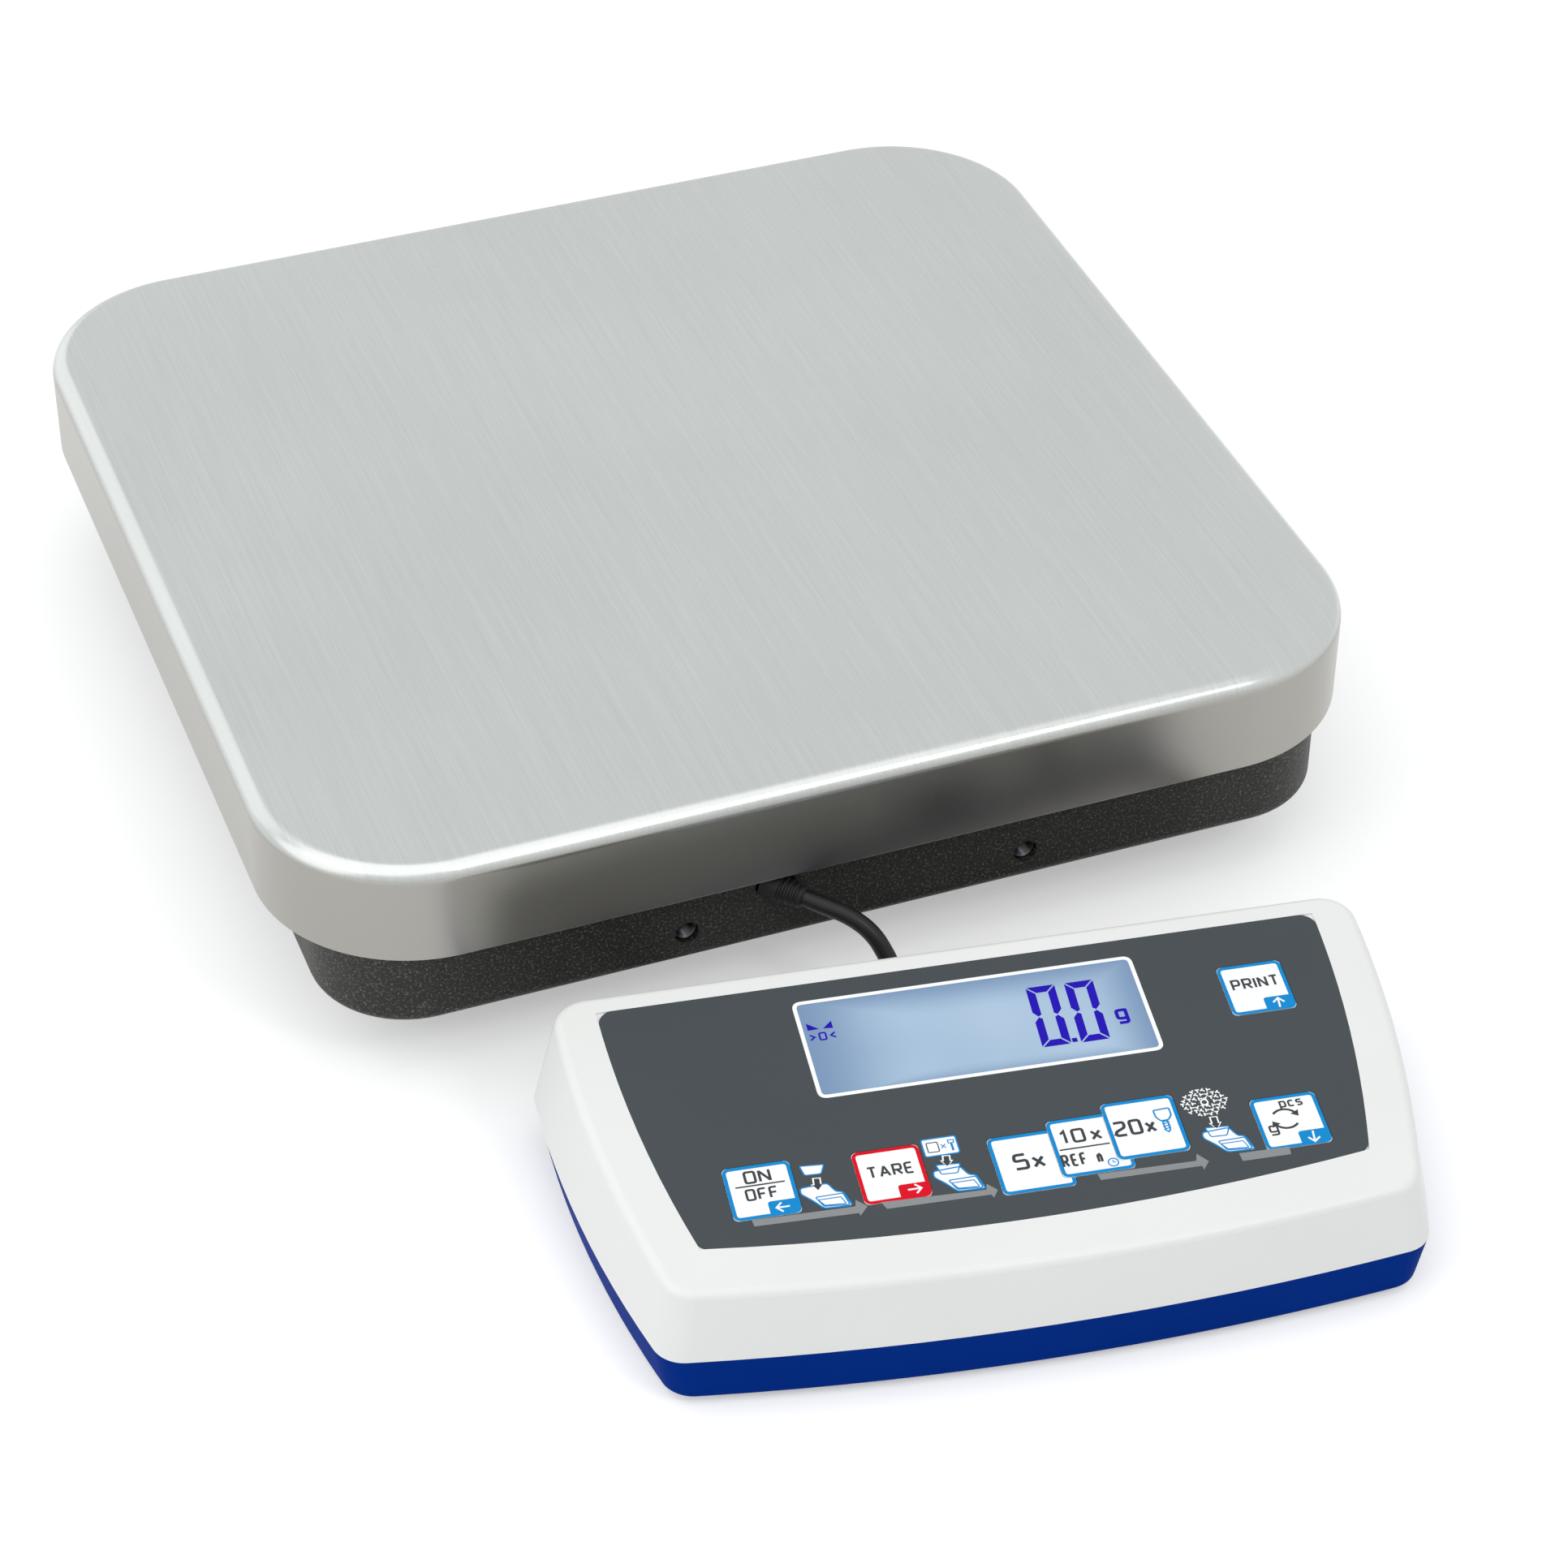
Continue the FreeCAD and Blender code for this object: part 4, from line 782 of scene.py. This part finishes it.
# Gilled rubber strain reliefs, each a taper that the lead comes out of
def taper(start, end, long, gills):
    profile = [(start, -4), (start, 0.4)]
    for number in range(gills):
        low = 0.9 + number * (long - 1.6) / gills
        radius = start + (end - start) * low / long
        profile += [(radius, low), (radius - 0.45, low + 0.3), (radius - 0.45, low + 0.8),
                    (radius - 0.1, low + 1.1)]
    profile += [(end + 0.1, long - 0.4), (end - 0.3, long)]
    piece = turned(profile, 36)
    smooth(piece, 30)
    return piece


along = at(*leadExit) @ leadWay.to_track_quat("Z", "Y").to_matrix().to_4x4()
standFor(taper(4.18, 3.2, 8, 4), baseFrame @ along, "base_strain_relief")
standFor(taper(3.98, 3.2, 11, 6), displayFrame @ at(-74, 30, 9.3) @ tilted(-90, "X"), "display_strain_relief")

# Cable ties round the hank's two runs: a strap with its head on the inner side
tie = {"width": 2.5, "strap": 0.5, "head": (2.4, 4, 4.2)}
ties = []
for side in (-1, 1):
    strap = outlined(box(-2.65, 2.65, 0.25, 10.15), 2.2, tie["strap"])
    loop = filledShape(strap, -tie["width"] / 2, tie["width"] / 2)
    head = roundedBlock((-side * 3.9, 6, 0), tie["head"], 0.5)
    soften(head, 0.3, 50)
    band = joinPieces([loop, head])
    band.data.transform(Matrix(((0, 0, 1, middleU), (1, 0, 0, middleV + side * lead["fold"]), (0, 1, 0, 0),
                                (0, 0, 0, 1))))
    ties.append(band)
band = joinPieces(ties)
smooth(band)
standFor(band, displayFrame, "cable_tie")
print("sockets, battery door, strain reliefs and ties ready")

# Letters and figures as lines, on a field one cap height tall; the first number is each one's width
glyphs = {
    "O": (0.8, [[(0, 0), (0.8, 0), (0.8, 1), (0, 1)]]),
    "N": (0.8, [[(0, 0), (0, 1)], [(0.8, 0), (0.8, 1)], [(0, 0.98), (0.8, 0.02)]]),
    "F": (0.7, [[(0, 0), (0, 1), (0.7, 1)], [(0, 0.5), (0.6, 0.5)]]),
    "T": (0.8, [[(0, 1), (0.8, 1)], [(0.4, 0), (0.4, 1)]]),
    "A": (0.9, [[(0, 0), (0.45, 1)], [(0.9, 0), (0.45, 1)], [(0.15, 0.32), (0.75, 0.32)]]),
    "R": (0.8, [[(0, 0), (0, 1.08)], [(0, 1), (0.8, 1), (0.8, 0.46), (0, 0.46)], [(0.35, 0.46), (0.8, 0)]]),
    "E": (0.7, [[(0.7, 0), (0, 0), (0, 1), (0.7, 1)], [(0, 0.5), (0.6, 0.5)]]),
    "P": (0.75, [[(0, 0), (0, 1.08)], [(0, 1), (0.75, 1), (0.75, 0.45), (0, 0.45)]]),
    "I": (0.0, [[(0, 0), (0, 1)]]),
    "5": (0.7, [[(0.66, 1), (0.06, 1), (0, 0.55), (0.7, 0.58), (0.7, 0), (0, 0)]]),
    "1": (0.25, [[(0, 0.78), (0.25, 1), (0.25, 0)]]),
    "0": (0.7, [[(0, 0), (0.7, 0), (0.7, 1), (0, 1)]]),
    "2": (0.7, [[(0, 0.98), (0.7, 1), (0.7, 0.58), (0, 0.3), (0, 0), (0.7, 0)]]),
    "x": (0.55, [[(0, 0), (0.55, 0.66)], [(0, 0.66), (0.55, 0)]]),
    "n": (0.5, [[(0, 0), (0, 0.66), (0.5, 0.66), (0.5, 0)]]),
    "p": (0.5, [[(0, -0.3), (0, 0.74)], [(0, 0.66), (0.5, 0.66), (0.5, 0), (0, 0)]]),
    "c": (0.46, [[(0.46, 0), (0, 0), (0, 0.66), (0.46, 0.66)]]),
    "s": (0.46, [[(0, 0), (0.46, 0), (0.46, 0.33), (0, 0.33), (0, 0.66), (0.46, 0.66)]]),
    "g": (0.5, [[(0, -0.35), (0.5, -0.35), (0.5, 0.74)], [(0.5, 0.66), (0, 0.66), (0, 0), (0.5, 0)]]),
    ">": (0.5, [[(0, 0.12), (0.5, 0.5), (0, 0.88)]]),
    "<": (0.5, [[(0.5, 0.12), (0, 0.5), (0.5, 0.88)]]),
}


letterLook = {"space": 0.45, "leastGap": 0.34, "corner": 0.16, "closed": "O0", "sharp": "NATx><1"}


def lettering(text, left, right, low, high, weight=0.19):  # outlines of a line of text that fills a field
    tall = high - low
    wide = sum(letterLook["space"] if mark == " " else glyphs[mark][0] for mark in text)
    gap = (right - left - wide * tall) / max(len(text) - 1, 1)
    squeeze = 1.0
    leastGap = letterLook["leastGap"] * tall
    if gap < leastGap:
        gap = leastGap
        squeeze = (right - left - gap * (len(text) - 1)) / (wide * tall)
    groups, x = [], left
    for mark in text:
        if mark == " ":
            x += letterLook["space"] * tall * squeeze + gap
            continue
        width, lines = glyphs[mark]
        closed = mark in letterLook["closed"]
        for points in lines:
            bent = [(x + px * tall * squeeze, low + py * tall) for px, py in points]
            if mark not in letterLook["sharp"] and len(points) > 2:
                bent = softCorners(bent, tall * letterLook["corner"], closed, 3)
            groups.append(stroke(bent, weight * tall, closed))
        x += width * tall * squeeze + gap
    return groups


# Prints of one key or of the overlay as one thin piece: each layer is a finish, its height and its outlines
printLook = {"sunk": -0.005, "stagger": 0.002, "levels": 7}


def printSheet(name, layers, body="base", slot="overlay_print"):
    films = []
    for finish, height, groups in layers:
        for number, outlines in enumerate(groups):
            top = height + printLook["stagger"] * (number % printLook["levels"])
            films.append(dress(filledShape(outlines, printLook["sunk"], top), finish))
    settle(joinPieces(films), name, panelFrame, body, slot)


def arrow(start, end, width, head):  # outline of a plain arrow
    start, end = Vector(start), Vector(end)
    way = (end - start).normalized()
    side = Vector((-way.y, way.x))
    neck = end - way * head
    return [start + side * width / 2, neck + side * width / 2, neck + side * head * 0.7, end,
            neck - side * head * 0.7, neck - side * width / 2, start - side * width / 2]


def lineArrow(start, end, width, head):  # outlines of an arrow drawn with a thin pen
    start, end = Vector(start), Vector(end)
    way = (end - start).normalized() * head
    side = Vector((-way.y, way.x))
    return [stroke([start, end - way * 0.3], width), stroke([end - way + side, end, end - way - side], width)]


def roundOutline(x, y, radius, sides=24):
    angles = [2 * math.pi * step / sides for step in range(sides)]
    return [(x + radius * math.cos(angle), y + radius * math.sin(angle)) for angle in angles]


# Printed keys: a coloured border, the function in words or a sign, and a corner tab with an arrow
keyLook = {"corner": 1.5, "border": 1.0, "tab": (8.1, 4.9), "tabInset": 0.3, "flat": 0.03, "tabTop": 0.045,
           "arrowTop": 0.06}
keyPrints = [
    {"node": "key_on_off", "at": (-67.9, -45.4), "side": 17.5, "arrow": ((-62, -51.6), (-65.4, -51.6)),
     "words": [("ON", -71.2, -64.9, -42.3, -38.7), ("OFF", -71.9, -64.1, -47.9, -44.6)],
     "rule": [(-74.2, -43.3), (-61.5, -43.3)]},
    {"node": "key_tare", "at": (-34.6, -46.3), "side": 17.5, "arrow": ((-31.7, -52.1), (-28.2, -52.1)),
     "words": [("TARE", -40.3, -28.9, -46.5, -43.2)], "ink": "inkRed"},
    {"node": "key_reference_5", "words": [("5x", -3.1, 4.3, -50.7, -46.1)],
     "open": [(7.6, -39.9), (-7.9, -39.9), (-7.9, -58.1), (10.3, -58.1), (10.3, -56.0)]},
    {"node": "key_reference_10",
     "open": [(22.9, -37.1), (8.3, -37.1), (8.3, -55.3), (26.5, -55.3), (26.5, -52.9)],
     "words": [("10x", 10.7, 20.8, -44.5, -40.5), ("REF n", 9, 19, -52.2, -48.6)],
     "rule": [(9.2, -46.6), (22.4, -46.6)], "clock": (21.6, -53)},
    {"node": "key_reference_20", "at": (32.7, -43.1), "side": 19.2,
     "words": [("20x", 24.9, 35.2, -44.7, -40.3)], "screw": (38.3, -37.8)},
    {"node": "key_unit", "at": (70.0, -48.1), "side": 17.5, "arrow": ((74.5, -52.4), (74.1, -56)),
     "words": [("pcs", 68.9, 74.6, -43.1, -40.4), ("g", 63.9, 65.9, -50.9, -48)], "cycle": (68.9, -47.1)},
    {"node": "key_print", "at": (74.9, -1.2), "side": 17.5, "arrow": ((79.1, -9.1), (79.4, -5.8)),
     "words": [("PRINT", 68.9, 81.3, -1.0, 2.3)]},
]
for key in keyPrints:
    ink, flat = key.get("ink", "inkBlue"), keyLook["flat"]
    if "open" in key:
        border = stroke(softCorners(key["open"], keyLook["corner"], closed=False), keyLook["border"])
    else:
        x, y = key["at"]
        half = key["side"] / 2
        reach = half - keyLook["border"] / 2
        edge = box(x - reach, x + reach, y - reach, y + reach)
        border = outlined(edge, keyLook["corner"], keyLook["border"])
    layers = [(ink, flat, [border])]
    if "arrow" in key:
        wide, tall = keyLook["tab"]
        inset = keyLook["tabInset"]
        edge = box(x + half - wide, x + half - inset, y - half + inset, y - half + tall)
        layers.append((ink, keyLook["tabTop"], [[softCorners(edge, 0.9)]]))
        layers.append(("keyWhite", keyLook["arrowTop"], lineArrow(*key["arrow"], 0.5, 1.5)))
    letters = [outlines for words in key["words"] for outlines in lettering(*words)]
    if "rule" in key:
        letters.append(stroke(key["rule"], 0.45))
    layers.append(("inkDark", flat, letters))
    if "clock" in key:
        ringX, ringY = key["clock"]
        hands = stroke([(ringX, ringY + 0.8), (ringX, ringY), (ringX + 0.7, ringY)], 0.25)
        layers.append(("inkBlue", flat, [stroke(roundOutline(ringX, ringY, 1.3), 0.35, True), hands]))
    if "screw" in key:
        topX, topY = key["screw"]
        head = softCorners([(-2.1, -0.2), (2.1, 0), (2.1, -2.5), (1, -3.9), (-1, -4), (-2, -2.6)], 0.5)
        shank = [(-0.65, -4.3), (0.65, -4.2), (0.6, -7.3), (0, -7.9), (-0.6, -7.3)]
        icon = [stroke(moved(part, topX, topY), 0.45, True) for part in (head, shank)]
        icon += [stroke([(topX - 1, topY - low), (topX + 1, topY - low + 0.5)], 0.3) for low in (5.2, 6.1, 7)]
        layers.append(("inkBlue", flat, icon))
    if "cycle" in key:
        ringX, ringY = key["cycle"]
        icon = []
        for first, last in ((2.45, 0.3), (-0.7, -2.85)):
            angles = [first + (last - first) * step / 10 for step in range(11)]
            bend = [(ringX + 3.5 * math.cos(angle), ringY + 3.2 * math.sin(angle)) for angle in angles]
            icon.append(stroke(bend, 0.65))
            icon.append([arrow(bend[-2], Vector(bend[-1]) * 2 - Vector(bend[-2]), 0.6, 1.8)])
        layers.append(("inkDark", flat, icon))
    printSheet("keyPrint" + titled(key["node"])[3:], layers, bodyOf[key["node"]], slotOf[key["node"]])
print("key prints ready")

# Overlay prints: the steps of counting, told by arrows, small scales and small parts between the keys
smallScale = [(-5.3, 3.5), (1.8, 3.9), (3.4, 0.8), (5.1, 0.5), (6.5, -4.4), (-0.7, -4), (-3.1, -0.9),
              (-5.5, 1.6)]
smallPanel = [(-2.1, -0.1), (5, 0), (5.9, -4), (-0.6, -3.4)]
smallScreen = [(-1.6, -1.1), (4.2, -1.1), (5.1, -3.5), (-0.3, -3.1)]
smallBowl = [(-3, 1.7), (3.2, 1.2), (1.9, -1.7), (-2.3, -1.5)]
greyArrows = [
    [(-72.3, -54.4), (-45.9, -54.9), (-45.4, -52.8), (-42.9, -55.4), (-45.3, -58.1), (-45.5, -57.2),
     (-72.1, -56.5)],
    [(-39.3, -54.8), (-12.3, -55.8), (-11.8, -53.9), (-9.5, -56.4), (-11, -58.7), (-11.5, -57.6),
     (-38.3, -57.2)],
    [(16.6, -56.1), (42.4, -56.6), (43.1, -54.3), (45.5, -57.3), (43.5, -59.9), (43.4, -58.5), (16.9, -58.2)],
    [(53.8, -56.2), (67, -56.5), (66.8, -59), (54, -58.9)],
]
scaleOrigins = [(-53, -50), (-18.8, -50.9), (51.8, -51.2)]
bowlOrigins = [(-53.9, -41), (-19.9, -47.2), (50.7, -48)]
printSheet("stepArrows", [("inkGrey", 0.03, [[points] for points in greyArrows])])
bodies, lines = [], []
for (x, y), bowlSpot in zip(scaleOrigins, bowlOrigins):
    outer = softCorners(moved(smallScale, x, y), 0.8)
    bowl = softCorners(moved(smallBowl, *bowlSpot), 0.5)
    bodies += [[outer], [bowl]]
    lines += [stroke(outer, 0.4, True), outlined(moved(smallPanel, x, y), 0.5, 0.35),
              outlined(moved(smallScreen, x, y), 0.3, 0.3), stroke(bowl, 0.35, True)]
printSheet("smallScales", [("keyWhite", 0.03, bodies), ("inkBlue", 0.05, lines)])
downWays = [((-53.5, -44.1), (-53.9, -47.9)), ((-19.6, -43), (-20.1, -46.3)), ((50.8, -43.2), (50.7, -47))]
rims = [[arrow((x, y + 0.3), (endX, endY - 0.4), 2.2, 2.4)] for (x, y), (endX, endY) in downWays]
cores = [[arrow(start, end, 1.4, 1.7)] for start, end in downWays]
heap = {"middle": (50, -37.7), "half": (5.9, 4.6), "pitch": (1.45, 1.35), "centre": 0.9}
heapX, heapY = heap["middle"]
pile = []
for row in range(-3, 4):  # small parts lying in a heap round a ring
    for place in range(-4, 5):
        x, y = place * heap["pitch"][0] + (row % 2) * 0.7, row * heap["pitch"][1]
        if (x / heap["half"][0]) ** 2 + (y / heap["half"][1]) ** 2 < 1 and abs(x) + abs(y) > 1.6:
            turnPart = Matrix.Rotation((place * 5 + row * 3) % 4 * math.pi / 4, 2)
            for line in ([(-0.55, 0.35), (0.55, 0.35)], [(0, 0.35), (0, -0.6)]):
                placed = [turnPart @ Vector(point) + Vector((x + heapX, y + heapY)) for point in line]
                pile.append(stroke(placed, 0.36))
pile.append(stroke(roundOutline(heapX, heapY, heap["centre"]), 0.4, True))
printSheet("downArrows", [("keyWhite", 0.045, rims), ("inkDark", 0.065, cores), ("keyWhite", 0.03, pile)])
sign = softCorners(box(-24.8, -15.8, -42.4, -36.6), 0.7)
signLines = [stroke(sign, 0.4, True), stroke([(-20.1, -40.2), (-18.9, -38.9)], 0.3),
             stroke([(-20.1, -38.9), (-18.9, -40.2)], 0.3),
             stroke(moved([(-0.75, 0), (0.75, 0), (0.7, -1), (-0.7, -1)], -17.3, -37.8), 0.3, True),
             stroke([(-17.3, -39), (-17.3, -41.4)], 0.6)]
signSquare = outlined(box(-23.7, -20.8, -41.1, -37.9), 0.4, 0.3)
printSheet("pieceSign", [("keyWhite", 0.03, [[sign]]), ("inkBlue", 0.045, signLines),
                         ("inkDark", 0.045, [signSquare])])

# White ring round the display, its zero and gram marks, and the lit figures
window = {"middle": (-0.9, -0.7), "size": (92.2, 34.4), "ring": 1.1, "corner": 2}
x, y = window["middle"]
halfWide, halfTall = (side / 2 - window["ring"] / 2 for side in window["size"])
ring = outlined(box(x - halfWide, x + halfWide, y - halfTall, y + halfTall), window["corner"], window["ring"])
printSheet("displayRing", [("keyWhite", 0.03, [ring])])
marks = [[[(-44.7, 8.5), (-44.7, 6), (-41.7, 6.1)]], [[(-40.6, 6.1), (-38, 8.4), (-38, 5.8)]]]
marks += lettering(">0<", -44.6, -37.9, 2.2, 4.6, 0.2) + lettering("g", 36.1, 38.6, -5.15, -0.75, 0.22)
digit = {"wide": 7.8, "tall": 21.4, "thick": 2.2, "gap": 0.3, "lean": 0.04, "dotHalf": 0.7,
         "at": [(14, -11.3), (24.4, -11.5)], "dot": (22.9, -10.3)}
wide, tall, thick, gap = (digit[k] for k in ("wide", "tall", "thick", "gap"))
topBar = [(gap, tall), (wide - gap, tall), (wide - thick - gap, tall - thick), (thick + gap, tall - thick)]
sideBar = [(0, tall - gap), (thick, tall - thick - gap), (thick, tall / 2 + thick / 3),
           (thick * 0.6, tall / 2 + gap / 2), (0, tall / 2 + thick * 0.8)]
bars = []
for left, low in digit["at"]:
    for bar, acrossToo in ((topBar, False), (sideBar, True)):
        for overX in (False, True) if acrossToo else (False,):
            for overY in (False, True):
                ends = [(wide - px if overX else px, tall - py if overY else py) for px, py in bar]
                bars.append([[(px + digit["lean"] * py + left, py + low) for px, py in ends]])
dotX, dotY = digit["dot"]
dot = digit["dotHalf"]
bars.append([box(dotX - dot, dotX + dot, dotY - dot, dotY + dot)])
printSheet("displayFigures", [("digit", 0.03, bars + marks)], slot=slotOf["lcd_window"])
print("overlay prints ready")
